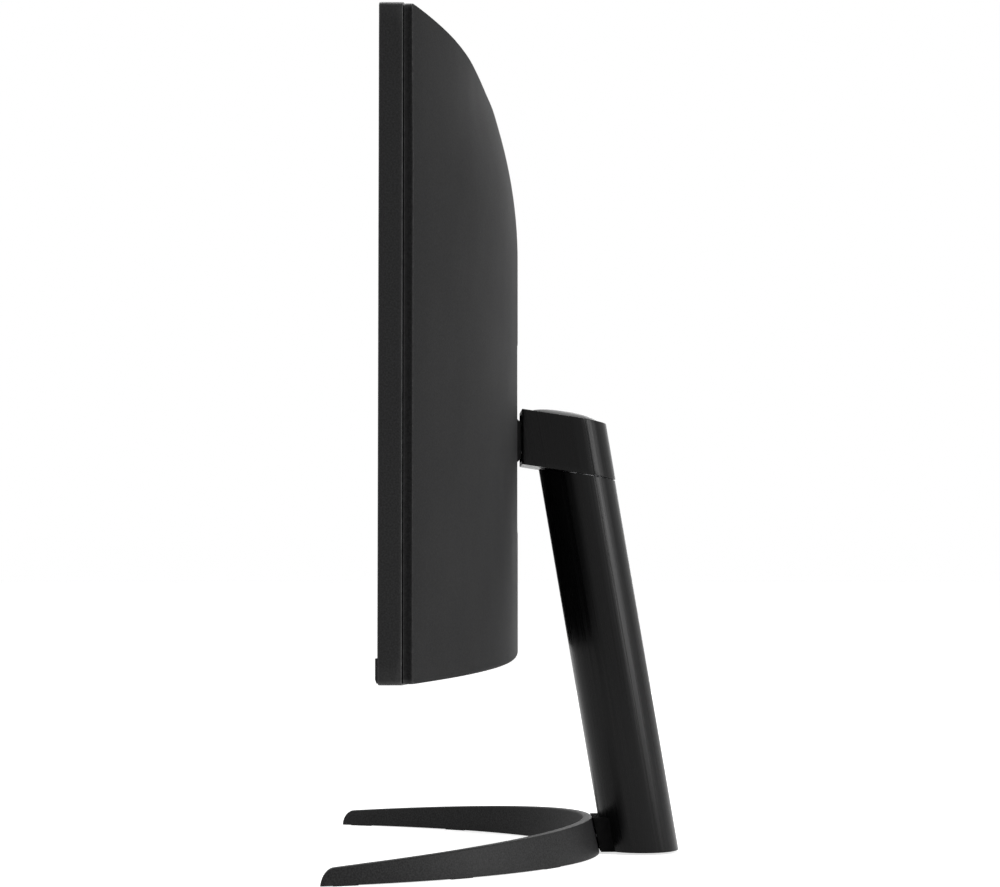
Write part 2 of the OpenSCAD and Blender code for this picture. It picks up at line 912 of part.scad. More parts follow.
module bracket_screw_places() {
    x = flange_x - 5;
    for (side = [-1, 1], z = [-44, 44])
        translate([side * x, curve_y + sqrt(pow(curve_r + chassis_back_d, 2) - x * x), hinge_z + z])
            rotate([-90, 0, 0])
                children();
}

module bracket_screw_shape(grow) {
    translate([0, 0, 0.05 - chassis_t])
        cylinder(r = 1.5 + grow, h = 3 + chassis_t);
    translate([0, 0, 2.8])
        cylinder(r = 3 + grow, h = 2);
}

module bracket_screws() {
    color("#b0b2b4")
        bracket_screw_places()
            difference() {
                bracket_screw_shape(0);
                translate([-2, -0.4, 4])
                    cube([4, 0.8, 2]);
                translate([-0.4, -2, 4])
                    cube([0.8, 4, 2]);
            }
}

// Latch bar behind the bracket, pushed up under the leaf's tongue and let go by the button
latch_y = bracket_y - bracket_t - 3;
latch_travel = 3.5;
button_z = catch_z - 16;
spring_low = button_z - 12;
module latch_window() {
    translate([-5, bracket_y - 10, button_z - 4 - latch_travel - 1])
        cube([10, 40, 8 + latch_travel + 2]);
}

module release_latch() {
    color("#c9c9c4")
        difference() {
            union() {
                translate([-latch_half, latch_y, button_z - 8])
                    cube([2 * latch_half, 2.6, catch_z - seat_gap - button_z + 8]);
                translate([-latch_half, latch_y + 0.4, catch_z - 1])
                    cube([2 * latch_half, 1.6, latch_top - catch_z + 0.6]);
            }
            translate([-2.5, latch_y - 1, button_z - 2.5])
                cube([5, 5, 5]);
        }
}

module release_button() {
    color("#2a2a2c")
        union() {
            along_y(recess_y + 0.4, recess_y + 3.2)
                round_rect(-13, button_z - 4.5, 13, button_z + 4.5, 2);
            translate([-2.4, latch_y + 0.2, button_z - 2.4])
                cube([4.8, recess_y + 1 - latch_y - 0.2, 4.8]);
            for (z = [-2.4, 0, 2.4])
                translate([-10, recess_y + 3, button_z + z - 0.4])
                    cube([20, 0.5, 0.8]);
        }
}

// Coil of round wire: a helix swept with an eight-sided section
spring_r = 1.05;
spring_wire = 0.25;
spring_turns = 6;
spring_steps = 14;
spring_sides = 8;
module latch_spring() {
    length = button_z - 8 - seat_gap - 2 * spring_wire - spring_low;
    count = spring_turns * spring_steps;
    points = [for (i = [0:count], j = [0:spring_sides - 1])
        let (a = 360 * i / spring_steps, b = 360 * j / spring_sides)
        let (r = spring_r + spring_wire * cos(b))
        [r * cos(a), r * sin(a), length * i / count + spring_wire * sin(b)]];
    sides = [for (i = [0:count - 1], j = [0:spring_sides - 1]) let (k = (j + 1) % spring_sides)
        [i * spring_sides + j, (i + 1) * spring_sides + j, (i + 1) * spring_sides + k,
         i * spring_sides + k]];
    ends = [[for (j = [0:spring_sides - 1]) j],
            [for (j = [spring_sides - 1:-1:0]) count * spring_sides + j]];
    color("#c4c6c8")
        translate([0, latch_y + 1.3, spring_low + spring_wire])
            polyhedron(points, concat(sides, ends), convexity = 12);
}

// ---- Display: housing

module front_frame() {
    color("#1b1b1c")
        difference() {
            round_slab(0, frame_d, half_w, low_z, top_z, corner_r);
            slab(lip_t, frame_d + 1, half_w - frame_wall, low_z + frame_wall, top_z - frame_wall);
            slab(-1, lip_t + 1, half_w - frame_lip, low_z + chin_h, top_z - frame_lip);
        }
}

// The chin bar's section, as depth and height, swept along the screen's curve
module chin_bar() {
    chamfer_h = 3.2;
    span = 2 * asin(half_w / curve_r) + 1;
    color("#161617")
        intersection() {
            translate([0, curve_y, 0])
                rotate_extrude(angle = span, start = 90 - span / 2, $fn = arc_fn)
                    translate([curve_r, low_z])
                        polygon([
                            [-chin_proud, chamfer_h],
                            [-chin_proud, chin_h],
                            [-seat_gap, chin_h],
                            [-seat_gap, 0.6]]);
            along_y(curve_y + curve_r / 2, curve_y + 2 * curve_r)
                translate([-half_w, low_z])
                    square([2 * half_w, chin_h]);
        }
}

// Solid of the rear cover's outer shape, or of what is inside it when shrunk
module cover_solid(shrink) {
    half = half_w - cover_inset - shrink;
    z0 = low_z + cover_inset + shrink;
    z1 = top_z - cover_inset - shrink;
    back = cover_y - shrink;
    start_d = frame_d + seam_gap;
    intersection() {
        union() {
            slab(start_d, edge_d - shrink, half + 5, z0 - 1, z1 + 1);
            difference() {
                translate([0, back - bulge_r, 0])
                    rotate_extrude($fn = arc_fn)
                        translate([bulge_r - back, 0])
                            cover_side_view(back, shoulder_r - shrink, z0, z1, shrink);
                translate([0, 0, z0 - 1])
                    linear_extrude(z1 - z0 + 2)
                        curve_disc(start_d);
            }
        }
        along_y(curve_y + curve_r / 2, curve_y + 2 * curve_r)
            round_rect(-half, z0, half, z1, max(corner_r - shrink, 0.4));
    }
}

// Side view of the bulge: upright, rounded forward above the shoulder, with a small heel radius
module cover_side_view(back, r, z0, z1, shrink) {
    heel = max(heel_r - shrink, 0.5);
    reach = 400;
    translate([back - reach, z0 + heel])
        square([reach, shoulder_z - z0 - heel]);
    translate([back - reach, z0])
        square([reach - heel, heel + 1]);
    translate([back - heel, z0 + heel])
        circle(r = heel, $fn = 48);
    intersection() {
        translate([back - r, shoulder_z])
            circle(r = r, $fn = arc_fn);
        translate([back - reach, shoulder_z - 1])
            square([reach, z1 - shoulder_z + 1]);
    }
    translate([back - reach, shoulder_z - 1])
        square([reach - r, z1 - shoulder_z + 1]);
}

// The three recesses in the cover's back, each grown by a wall when it is the wall that is wanted
module recess_box(wall) {
    h = recess_w / 2 + wall;
    along_y(recess_y - wall, cover_y + 20)
        round_rect(-h, hinge_z - h, h, hinge_z + h, 8 + wall);
}

module pocket_boxes(wall) {
    along_y(pocket_y - (wall > 0 ? pocket_floor_t : 0), cover_y + 20) {
        pocket_outline(pocket_x, pocket_z, pocket_w, wall, 3 + wall);
        pocket_outline(vent_x, vent_z, vent_w, wall, 3 + wall);
    }
}

module pocket_floor_holes() {
    along_y(pocket_y - 10, pocket_y + 1) {
        pocket_outline(pocket_x, pocket_z, pocket_w, -floor_rim, 2);
        pocket_outline(vent_x, vent_z, vent_w, -floor_rim, 2);
    }
}

module pocket_outline(x, z, width, grow, r) {
    w = width / 2 + grow;
    h = pocket_h / 2 + grow;
    round_rect(x - w, z - h, x + w, z + h, r);
}

module rear_cover() {
    tongue_half_w = half_w - frame_wall - 2 * seat_gap;
    inner_half = half_w - cover_inset - cover_wall;
    color("#1d1d1e")
        difference() {
            union() {
                cover_solid(0);
                slab(frame_d - 3, frame_d + seam_gap + 1, tongue_half_w,
                     low_z + frame_wall + 2 * seat_gap, top_z - frame_wall - 2 * seat_gap);
            }
            difference() {
                cover_solid(cover_wall);
                recess_box(cover_wall);
                pocket_boxes(cover_wall);
            }
            slab(frame_d - 4, frame_d + seam_gap + 2, inner_half,
                 low_z + cover_inset + cover_wall, top_z - cover_inset - cover_wall);
            recess_box(0);
            pocket_boxes(0);
            pocket_floor_holes();
            wall_mount_places()
                translate([0, 0, -10])
                    cylinder(r = wall_mount_hole_r + 0.6, h = 40);
            leaf_slots();
            latch_window();
            translate([0, stick_y, low_z - 5])
                cylinder(r = stick_hole_r, h = 20);
            translate([lens_x, stick_y, low_z - 5])
                cylinder(r = lens_r + seat_gap, h = 20);
        }
}

module vent_grille() {
    w = vent_w / 2 - 1;
    h = pocket_h / 2 - 1;
    slots = 10;
    pitch = (2 * w - 8) / slots;
    color("#141415")
        along_y(plate_y, plate_y + plate_t)
            difference() {
                translate([vent_x - w, vent_z - h])
                    square([2 * w, 2 * h]);
                for (k = [0:slots - 1])
                    translate([vent_x - w + 4 + (k + 0.25) * pitch, vent_z - h + 4])
                        square([pitch / 2, 2 * h - 8]);
            }
}

module io_plate() {
    w = pocket_w / 2 - 1;
    h = pocket_h / 2 - 1;
    color("#242426")
        along_y(plate_y, plate_y + plate_t)
            difference() {
                translate([pocket_x - w, pocket_z - h])
                    square([2 * w, 2 * h]);
                for (x = hdmi_x)
                    translate([x, pocket_z])
                        hdmi_outline(0.5 + seat_gap);
                translate([display_port_x, pocket_z])
                    display_port_outline(0.5 + seat_gap);
                translate([dc_x, pocket_z])
                    square(dc_body + 2 * seat_gap, center = true);
                translate([headphone_x, pocket_z])
                    circle(r = headphone_barrel_r + seat_gap);
                translate([lock_x, pocket_z])
                    square([lock_w, lock_h], center = true);
            }
}

// ---- Display: panel

module lcd_cell() {
    color("#0a0a0c")
        slab(cell_d, cell_d + cell_t, cell_half, cell_low, cell_top);
}

module optical_sheets() {
    color("#e8e8e4")
        slab(sheets_d, sheets_d + sheets_t, guide_half, guide_low, guide_top);
}

module light_guide() {
    color("#dfe8ea")
        slab(guide_d, guide_d + guide_t, guide_half, guide_low, guide_top);
}

module reflector_sheet() {
    color("#f4f4f2")
        slab(reflector_d, reflector_d + reflector_t, guide_half, led_low, guide_top);
}

led_count = 45;
module led_bar() {
    pitch = 2 * asin(guide_half / curve_r) / led_count;
    color("#e9e4c8")
        union() {
            slab(guide_d, guide_d + guide_t, guide_half - 1, led_low, led_low + 1.2);
            for (k = [0:led_count - 1])
                translate([0, curve_y, 0])
                    rotate([0, 0, (k - (led_count - 1) / 2) * pitch])
                        translate([-3.5, curve_r + guide_d + 0.7, led_low + 1])
                            cube([7, 1.6, led_h - 1]);
        }
}

module mid_frame() {
    color("#2e2e30")
        union() {
            difference() {
                slab(cell_d, chassis_back_d, mid_half, mid_low, mid_top);
                slab(cell_d - 1, chassis_back_d + 1, mid_half - mid_wall,
                     mid_low + mid_wall, mid_top - mid_wall);
            }
            difference() {
                slab(ledge_d, ledge_d + ledge_t, mid_half - 0.2, mid_low + 0.2, mid_top - 0.2);
                slab(ledge_d - 1, ledge_d + 2, guide_half - 4, guide_low + 3, guide_top - 4);
            }
        }
}

module back_chassis() {
    rim_d = ledge_d + ledge_t + seat_gap;
    color("#8e9194")
        difference() {
            slab(rim_d, chassis_back_d, cell_half, cell_low, cell_top);
            slab(rim_d - 1, chassis_d, cell_half - chassis_t,
                 cell_low + chassis_t, cell_top - chassis_t);
            bracket_screw_places()
                bracket_screw_shape(seat_gap);
        }
}

// ---- Display: electronics

// Small parts on a board: [x, z, width, height, thickness], from the board's lower outer corner
module board_parts(parts) {
    for (p = parts)
        translate([p[0], board_back_y - 0.2, board_low + p[1]])
            cube([p[2], p[4] + 0.2, p[3]]);
}

module main_board() {
    color("#1f5a34")
        union() {
            translate([-board_in - board_w, board_y, board_low])
                cube([board_w, board_t, board_h]);
            translate([-board_in - board_w, 0, 0])
                board_parts([
                    [42, 44, 16, 16, 1.4], [66, 46, 12, 12, 1.2], [22, 46, 8, 12, 1],
                    [84, 44, 9, 5, 2.4], [84, 54, 9, 5, 2.4], [12, 52, 5, 5, 4], [98, 48, 10, 8, 3.2]]);
        }
}

module tcon_board() {
    color("#1f5a34")
        union() {
            translate([board_in, board_y, board_low])
                cube([board_w, board_t, board_h]);
            translate([board_in, 0, 0])
                board_parts([
                    [48, 44, 14, 14, 1.2], [72, 46, 8, 8, 1], [24, 46, 10, 6, 1.6],
                    [12, 52, 6, 6, 2.4], [92, 46, 12, 5, 2]]);
        }
}

// Pressed metal can, open towards the board
module shield_can(x0, z0, w, h, depth) {
    difference() {
        translate([x0, board_back_y + seat_gap, z0])
            cube([w, depth, h]);
        translate([x0 + 0.6, board_back_y - 1, z0 + 0.6])
            cube([w - 1.2, depth + 1 + seat_gap - 0.6, h - 1.2]);
        for (k = [0:7], row = [0:1])
            translate([x0 + w * (k + 1) / 9, board_back_y, z0 + h * (row + 1) / 3])
                rotate([-90, 0, 0])
                    cylinder(r = 1.4, h = depth + 5);
    }
}

module board_shield() {
    color("#b3b6b8")
        shield_can(-board_in - board_w + 6, board_low + 42, board_w - 24, 24, 7);
}

module tcon_shield() {
    color("#b3b6b8")
        shield_can(board_in + 18, board_low + 42, board_w - 24, 24, 5);
}

module board_standoffs() {
    r = 2.5;
    color("#b9a25a")
        for (side = [-1, 1], x = [5, board_w - 5], z = [5, board_h - 5]) {
            near_x = board_in + x - r;
            foot_y = curve_y + sqrt(pow(curve_r + chassis_back_d, 2) - near_x * near_x);
            translate([side * (board_in + x), foot_y + seat_gap, board_low + z])
                rotate([-90, 0, 0])
                    cylinder(r = r, h = board_y - foot_y - 2 * seat_gap);
        }
}

// Mouth of a wide socket with its two lower corners cut off, grown outwards
module hdmi_outline(grow) {
    w = 7 + grow;
    h = 2.3 + grow;
    polygon([[-w, h], [w, h], [w, -h + 2], [w - 2, -h], [-w + 2, -h], [-w, -h + 2]]);
}

module display_port_outline(grow) {
    w = 8 + grow;
    h = 2.4 + grow;
    polygon([[-w, h], [w, h], [w, -h], [-w + 2, -h], [-w, -h + 2]]);
}

// Socket shell from the main board to just outside its plate, with a contact blade inside
module socket_shell(x) {
    translate([x, 0, pocket_z]) {
        difference() {
            along_y(board_back_y, board_back_y + socket_len)
                children(0);
            along_y(board_back_y + 2, board_back_y + socket_len + 1)
                children(1);
        }
        translate([-5, board_back_y + 1, -0.4])
            cube([10, socket_len - 3, 0.9]);
    }
}

module hdmi_sockets() {
    color("#c6c8ca")
        for (x = hdmi_x)
            socket_shell(x) {
                hdmi_outline(0.5);
                hdmi_outline(0);
            }
}

module display_port_socket() {
    color("#c6c8ca")
        socket_shell(display_port_x) {
            display_port_outline(0.5);
            display_port_outline(0);
        }
}

module dc_jack() {
    color("#151516")
        difference() {
            translate([dc_x - dc_body / 2, board_back_y, pocket_z - dc_body / 2])
                cube([dc_body, socket_len, dc_body]);
            translate([dc_x, board_back_y + 2, pocket_z])
                rotate([-90, 0, 0])
                    difference() {
                        cylinder(r = dc_hole_r, h = 20);
                        cylinder(r = dc_pin_r, h = socket_len - 4);
                    }
        }
}

module headphone_jack() {
    color("#151516")
        translate([headphone_x, board_back_y, pocket_z])
            rotate([-90, 0, 0])
                difference() {
                    union() {
                        translate([-4, -4, 0])
                            cube([8, 8, socket_len - socket_proud - plate_t - seat_gap]);
                        cylinder(r = headphone_barrel_r, h = socket_len);
                    }
                    translate([0, 0, 1.5])
                        cylinder(r = headphone_hole_r, h = 20);
                }
}

module lock_slot_plate() {
    color("#a4a6a8")
        along_y(plate_y - 1.6, plate_y - seat_gap)
            difference() {
                translate([lock_x - 7, pocket_z - 7])
                    square([14, 14]);
                translate([lock_x, pocket_z])
                    square([lock_w, lock_h], center = true);
            }
}

// ---- Menu joystick under the middle of the display, and the power light beside it

housing_w = 26;
lens_x = 24;
lens_r = 1.5;
gimbal_r = 6.4;
stem_hub_r = 2.6;
stem_hub_h = 4.4;
stem_r = 1.5;
stem_len = 9;
stem_pin_r = 0.8;
gimbal_pin_r = 1;
joystick_floor_z = low_z + cover_inset + cover_wall + seat_gap;
housing_top_z = joystick_floor_z + 14;

module joystick_housing() {
    color("#202022")
        difference() {
            translate([-housing_w / 2, stick_y - 10, joystick_floor_z])
                cube([housing_w, 20, housing_top_z - joystick_floor_z]);
            translate([0, stick_y, joystick_floor_z - 1])
                cylinder(r = gimbal_r + 1.8, h = housing_top_z - joystick_floor_z - 0.6);
            translate([0, stick_y, stick_pivot_z])
                bar_x(gimbal_pin_r + run_fit, 2 * gimbal_r + 6);
        }
}

module joystick_board() {
    color("#1f5a34")
        translate([-housing_w / 2 - 4, stick_y - 10, housing_top_z + seat_gap])
            cube([housing_w + 8 + lens_x - housing_w / 2, 20, 1.2]);
}

// Ring that rocks about X in the housing and carries the stem's cross pin
module joystick_gimbal() {
    color("#d0d0cc")
        translate([0, stick_y, stick_pivot_z])
            difference() {
                union() {
                    cylinder(r = gimbal_r - 0.6, h = 3, center = true);
                    bar_x(gimbal_pin_r, 2 * gimbal_r + 4);
                }
                cylinder(r = 4.2, h = 10, center = true);
                rotate([90, 0, 0])
                    cylinder(r = stem_pin_r + run_fit, h = 30, center = true);
            }
}

module joystick_stem() {
    color("#8c8c8a")
        translate([0, stick_y, stick_pivot_z])
            union() {
                cylinder(r = stem_hub_r, h = stem_hub_h, center = true);
                rotate([90, 0, 0])
                    cylinder(r = stem_pin_r, h = 2 * gimbal_r - 2.4, center = true);
                translate([0, 0, -stem_len])
                    cylinder(r = stem_r, h = stem_len);
            }
}

cap_low_z = low_z - 5.5;
cap_top_z = stick_pivot_z - 6;
press_travel = 0.8;
cap_chamfer = 1;
cap_rim_h = 5;
cap_neck_r = 3.4;
module joystick_cap() {
    color("#26262a")
        translate([0, stick_y, 0])
            difference() {
                rotate_extrude()
                    polygon([
                        [0, cap_low_z], [cap_r - cap_chamfer, cap_low_z],
                        [cap_r, cap_low_z + cap_chamfer], [cap_r, cap_low_z + cap_rim_h],
                        [cap_neck_r, cap_low_z + cap_rim_h], [cap_neck_r, cap_top_z],
                        [0, cap_top_z]]);
                translate([0, 0, stick_pivot_z - stem_len - press_travel - 0.4])
                    cylinder(r = stem_r + run_fit, h = 30);
            }
}

module led_lens() {
    color("#e6e6e0")
        translate([lens_x, stick_y, low_z + cover_inset - 0.3])
            cylinder(r = lens_r, h = housing_top_z - low_z - cover_inset + 0.3);
}

base_ring();
foot_pads();
base_neck();
base_screws();
base_thumb_screw();
column_tube();
column_foot_block();
column_top_bush();
lift_cylinder();
lift_gland();
inner_column();
column_lower_glide();
lift_rod();
column_screws();
head_shell();
head_top_cap();
head_bracket();
hinge_pin();
hinge_washers();
hinge_nut();
mount_leaf();
mount_bracket();
bracket_screws();
latch_spring();
release_button();
release_latch();
front_frame();
chin_bar();
rear_cover();
vent_grille();
io_plate();
lcd_cell();
optical_sheets();
light_guide();
reflector_sheet();
led_bar();
mid_frame();
back_chassis();
main_board();
board_shield();
tcon_board();
tcon_shield();
board_standoffs();
hdmi_sockets();
display_port_socket();
dc_jack();
headphone_jack();
lock_slot_plate();
joystick_housing();
joystick_board();
joystick_gimbal();
joystick_stem();
joystick_cap();
led_lens();
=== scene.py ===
"""Curved desktop monitor on a leaning, height-adjustable column with an arc-shaped foot.

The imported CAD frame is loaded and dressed. Pieces whose look needs finer shapes are built here,
in millimetres, and stand for their CAD nodes. The screen faces -Y and +X is the user's right.
"""
import math

import bmesh
import bpy
import numpy as np
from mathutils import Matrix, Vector


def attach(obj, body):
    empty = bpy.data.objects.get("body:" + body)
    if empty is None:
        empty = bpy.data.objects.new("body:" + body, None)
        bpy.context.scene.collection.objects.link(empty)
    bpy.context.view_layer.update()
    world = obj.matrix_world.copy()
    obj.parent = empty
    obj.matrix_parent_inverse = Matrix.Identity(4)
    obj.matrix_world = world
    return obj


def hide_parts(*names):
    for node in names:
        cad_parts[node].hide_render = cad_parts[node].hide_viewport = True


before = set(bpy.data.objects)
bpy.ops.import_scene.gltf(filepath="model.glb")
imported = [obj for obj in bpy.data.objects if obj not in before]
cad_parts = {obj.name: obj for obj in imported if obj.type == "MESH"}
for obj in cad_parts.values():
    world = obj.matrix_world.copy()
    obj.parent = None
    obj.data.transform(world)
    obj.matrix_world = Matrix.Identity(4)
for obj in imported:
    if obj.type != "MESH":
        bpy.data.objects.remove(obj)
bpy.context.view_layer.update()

# ---- Foot ------------------------------------------------------------------------------------
# A single die-cast arc of aluminium, open to the front, that thins from its back to its tips.
# Its outer wall leans in. It is blasted and powder-coated a fine-grained black.

FOOT_A, FOOT_B, FOOT_DEPTH, FOOT_BACK_Y = 200.0, 299.0, 183.5, 64.384
FOOT_BACK_H, FOOT_TIP_H, FOOT_BOTTOM_T, FOOT_TOP_T, FOOT_BATTER = 25.0, 10.5, 8.5, 6.2, 5.5
PAD_T = 0.5


def rounded(corners, radii, steps):
    """Polygon corners[..., k, 2] with each corner turned into an arc. The arc's centre lies on the
    corner's bisector at radius / sin(half the corner's angle), and its points swing round that
    centre from the place where one side touches the arc to the place where the other does."""
    before = np.roll(corners, 1, axis=-2) - corners
    after = np.roll(corners, -1, axis=-2) - corners
    before /= np.linalg.norm(before, axis=-1, keepdims=True)
    after /= np.linalg.norm(after, axis=-1, keepdims=True)
    half = np.arccos(np.clip((before * after).sum(-1), -1, 1)) / 2
    radii = np.broadcast_to(np.asarray(radii, float), half.shape)
    bisector = before + after
    bisector /= np.linalg.norm(bisector, axis=-1, keepdims=True)
    centre = corners + bisector * (radii / np.sin(half))[..., None]
    start = corners + before * (radii / np.tan(half))[..., None] - centre
    end = corners + after * (radii / np.tan(half))[..., None] - centre
    share = np.linspace(0, 1, steps)
    swing = (np.pi - 2 * half)[..., None]
    arc = (centre[..., None, :]
           + start[..., None, :] * (np.sin((1 - share) * swing) / np.sin(swing))[..., None]
           + end[..., None, :] * (np.sin(share * swing) / np.sin(swing))[..., None])
    return arc.reshape(*corners.shape[:-2], -1, 2)


def skin(rings, looped=False):
    """Faces over rings[i, j, 3]: the quad (i, j) joins ring i to ring i + 1 between places j and
    j + 1, and j runs round. The last ring joins the first one when looped; otherwise the first and
    the last ring are each closed by one face. Returns (points[n, 3], faces)."""
    rows, around = rings.shape[:2]
    index = np.arange(rows * around).reshape(rows, around)
    here = index if looped else index[:-1]
    there = np.roll(index, -1, axis=0) if looped else index[1:]
    quads = np.stack([here, np.roll(here, -1, axis=1), np.roll(there, -1, axis=1), there], axis=-1)
    faces = quads.reshape(-1, 4).tolist()
    if not looped:
        faces += [index[0][::-1].tolist(), index[-1].tolist()]
    return rings.reshape(-1, 3), faces


def build(name, points, faces, sharp=35.0):
    """Object from points in millimetres, with its normals outwards and edges over the sharp angle
    kept crisp."""
    mesh = bpy.data.meshes.new(name)
    mesh.from_pydata((np.asarray(points) * 0.001).tolist(), [], faces)
    work = bmesh.new()
    work.from_mesh(mesh)
    bmesh.ops.recalc_face_normals(work, faces=work.faces)
    work.to_mesh(mesh)
    work.free()
    mesh.shade_smooth()
    mesh.set_sharp_from_angle(angle=math.radians(sharp))
    piece = bpy.data.objects.new(name, mesh)
    bpy.context.scene.collection.objects.link(piece)
    return piece


def carve(piece, cutter, operation, sharp=35.0):
    """Leaves piece as its union, intersection or difference with the cutter, which is used up."""
    cut = piece.modifiers.new("cut", "BOOLEAN")
    cut.operation, cut.solver, cut.object = operation, "MANIFOLD", cutter
    finished_piece = piece.evaluated_get(bpy.context.evaluated_depsgraph_get())
    made = bpy.data.meshes.new_from_object(finished_piece)
    piece.modifiers.clear()
    piece.data = made
    bpy.data.objects.remove(cutter)
    made.shade_smooth()
    made.set_sharp_from_angle(angle=math.radians(sharp))
    return piece


def prism(outline, axis, start, end):
    """Rings of an outline[n, 2] carried along an axis from start to end; the outline's two numbers
    are the place on the other two axes, in their order."""
    other = [k for k in range(3) if k != axis]
    rings = np.zeros((2, len(outline), 3))
    rings[:, :, other] = outline
    rings[0, :, axis], rings[1, :, axis] = start, end
    return rings


def block(outline, axis, start, end):
    """Points and faces of an outline carried along an axis."""
    return skin(prism(outline, axis, start, end))


def circle(x, y, radius, count=48):
    """Outline of a circle: centre plus radius times the cosine and sine of even steps."""
    turn = np.linspace(0, 2 * np.pi, count, endpoint=False)
    return np.stack([x + radius * np.cos(turn), y + radius * np.sin(turn)], axis=-1)


def several(name, shapes, sharp=35.0):
    """One object from a list of (points, faces) that don't touch each other."""
    points, faces, count = [], [], 0
    for some_points, some_faces in shapes:
        points.append(some_points)
        faces += [[count + k for k in face] for face in some_faces]
        count += len(some_points)
    return build(name, np.concatenate(points), faces, sharp)


# Ellipse (FOOT_A cos t, FOOT_B sin t) from the right tip to the left one. The height grows with
# sin t, and the last 9 mm of each tip fall as a quarter of an ellipse.
first = math.asin(1 - FOOT_DEPTH / FOOT_B)
TIP_ROUND = 9.0
tip_span = TIP_ROUND / math.hypot(FOOT_A * math.sin(first), FOOT_B * math.cos(first))
fall = np.radians(np.linspace(4, 90, 14))
turn = np.concatenate([
    first + tip_span * (1 - np.cos(fall[:-1])),
    np.linspace(first + tip_span, np.pi - first - tip_span, 260),
    np.pi - first - tip_span * (1 - np.cos(fall[-2::-1]))])
fullness = np.concatenate([np.sin(fall[:-1]), np.ones(260), np.sin(fall[-2::-1])])
share = (np.sin(turn) - math.sin(first)) / (1 - math.sin(first))
height = PAD_T + (FOOT_TIP_H - PAD_T + (FOOT_BACK_H - FOOT_TIP_H) * share) * fullness
lean_in = FOOT_BATTER * height / FOOT_BACK_H
zero = np.zeros_like(height)
corners = np.stack([
    np.stack([zero, zero + PAD_T], -1), np.stack([zero + FOOT_BOTTOM_T, zero + PAD_T], -1),
    np.stack([lean_in + FOOT_TOP_T, height], -1), np.stack([lean_in, height], -1)], axis=1)
FOOT_EDGES = np.array([0.4, 0.4, 0.9, 0.9])    # lower outer, lower inner, upper inner, upper outer
edge_r = np.minimum(FOOT_EDGES, 0.2 * (height - PAD_T)[:, None])
section = rounded(corners, edge_r, 5)
square = np.minimum(1, np.minimum(turn - first, np.pi - first - turn) / math.radians(6))
facing = np.stack([np.cos(turn) / FOOT_A, np.sin(turn) / FOOT_B * square], axis=-1)
facing /= np.linalg.norm(facing, axis=-1, keepdims=True)
spine = np.stack([FOOT_A * np.cos(turn), FOOT_BACK_Y - FOOT_B + FOOT_B * np.sin(turn)], axis=-1)
foot_rings = np.concatenate(
    [spine[:, None, :] - section[..., :1] * facing[:, None, :], section[..., 1:]], axis=-1)
foot = build("foot_arc", *skin(foot_rings))
SCREW_X, SCREW_Z, SCREW_HEAD_R, SCREW_HOLE_R = 9.0, 12.5, 3.4, 1.85
SCREW_SINK, SCREW_REACH = 2.5, 14
screw_y = FOOT_BACK_Y - FOOT_BATTER * 0.5 - FOOT_BOTTOM_T
carve(foot, several("counterbores", [
    block(circle(x, SCREW_Z, SCREW_HEAD_R), 1, screw_y - 1, screw_y + SCREW_SINK)
    for x in (-SCREW_X, SCREW_X)
]), "DIFFERENCE")
carve(foot, several("bores", [
    block(circle(x, SCREW_Z, SCREW_HOLE_R), 1, screw_y + 1, screw_y + SCREW_REACH)
    for x in (-SCREW_X, SCREW_X)
]), "DIFFERENCE")
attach(foot, "stand")
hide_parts("base_ring")


def group(name, inputs, outputs):
    """A shader node group with named sockets. Returns (tree, its input node, its output node)."""
    tree = bpy.data.node_groups.new(name, "ShaderNodeTree")
    for title, kind in inputs:
        tree.interface.new_socket(title, in_out="INPUT", socket_type=kind)
    for title, kind in outputs:
        tree.interface.new_socket(title, in_out="OUTPUT", socket_type=kind)
    return tree, tree.nodes.new("NodeGroupInput"), tree.nodes.new("NodeGroupOutput")


def node(tree, kind, inputs=(), **settings):
    """A node with its settings made, and its inputs set to a value or linked to a socket."""
    made = tree.nodes.new(kind)
    for key, value in settings.items():
        setattr(made, key, value)
    for key, value in dict(inputs).items():
        if isinstance(value, bpy.types.NodeSocket):
            tree.links.new(value, made.inputs[key])
        else:
            made.inputs[key].default_value = value
    return made


def maths(tree, operation, *values, clamp=False):
    """Output of a Math node on values or sockets, in their order."""
    return node(tree, "ShaderNodeMath", enumerate(values), operation=operation,
                use_clamp=clamp).outputs[0]


def object_place(tree):
    """The place in the object's own frame, so that a pattern moves with the piece."""
    return node(tree, "ShaderNodeTexCoord").outputs["Object"]


def new_material(name):
    """A material with its node tree and its Principled shader."""
    material = bpy.data.materials.new(name)
    material.use_nodes = True
    return material, material.node_tree, material.node_tree.nodes["Principled BSDF"]


FLOAT, VECTOR = "NodeSocketFloat", "NodeSocketVector"

# Grain: bumps of a size per metre, with specks on top, and a slow drift over the piece.
grain, at, out = group("fine_grain", [("Per metre", FLOAT), ("Drift per metre", FLOAT)],
                       [("Height", FLOAT), ("Speck", FLOAT), ("Drift", FLOAT)])
place = object_place(grain)
bumps = node(grain, "ShaderNodeTexNoise", {"Vector": place, "Scale": at.outputs["Per metre"],
                                           "Detail": 3.0, "Roughness": 0.6})
pits = node(grain, "ShaderNodeTexVoronoi", {"Vector": place, "Scale": at.outputs["Per metre"]})
drift = node(grain, "ShaderNodeTexNoise", {"Vector": place, "Scale": at.outputs["Drift per metre"],
                                           "Detail": 4.0, "Roughness": 0.55})
speck = node(grain, "ShaderNodeMapRange", {"Value": bumps.outputs["Fac"], "From Min": 0.35,
                                           "From Max": 0.65})
sum_up = maths(grain, "MULTIPLY_ADD", pits.outputs["Distance"], 0.5, bumps.outputs["Fac"])
grain.links.new(sum_up, out.inputs["Height"])
grain.links.new(speck.outputs[0], out.inputs["Speck"])
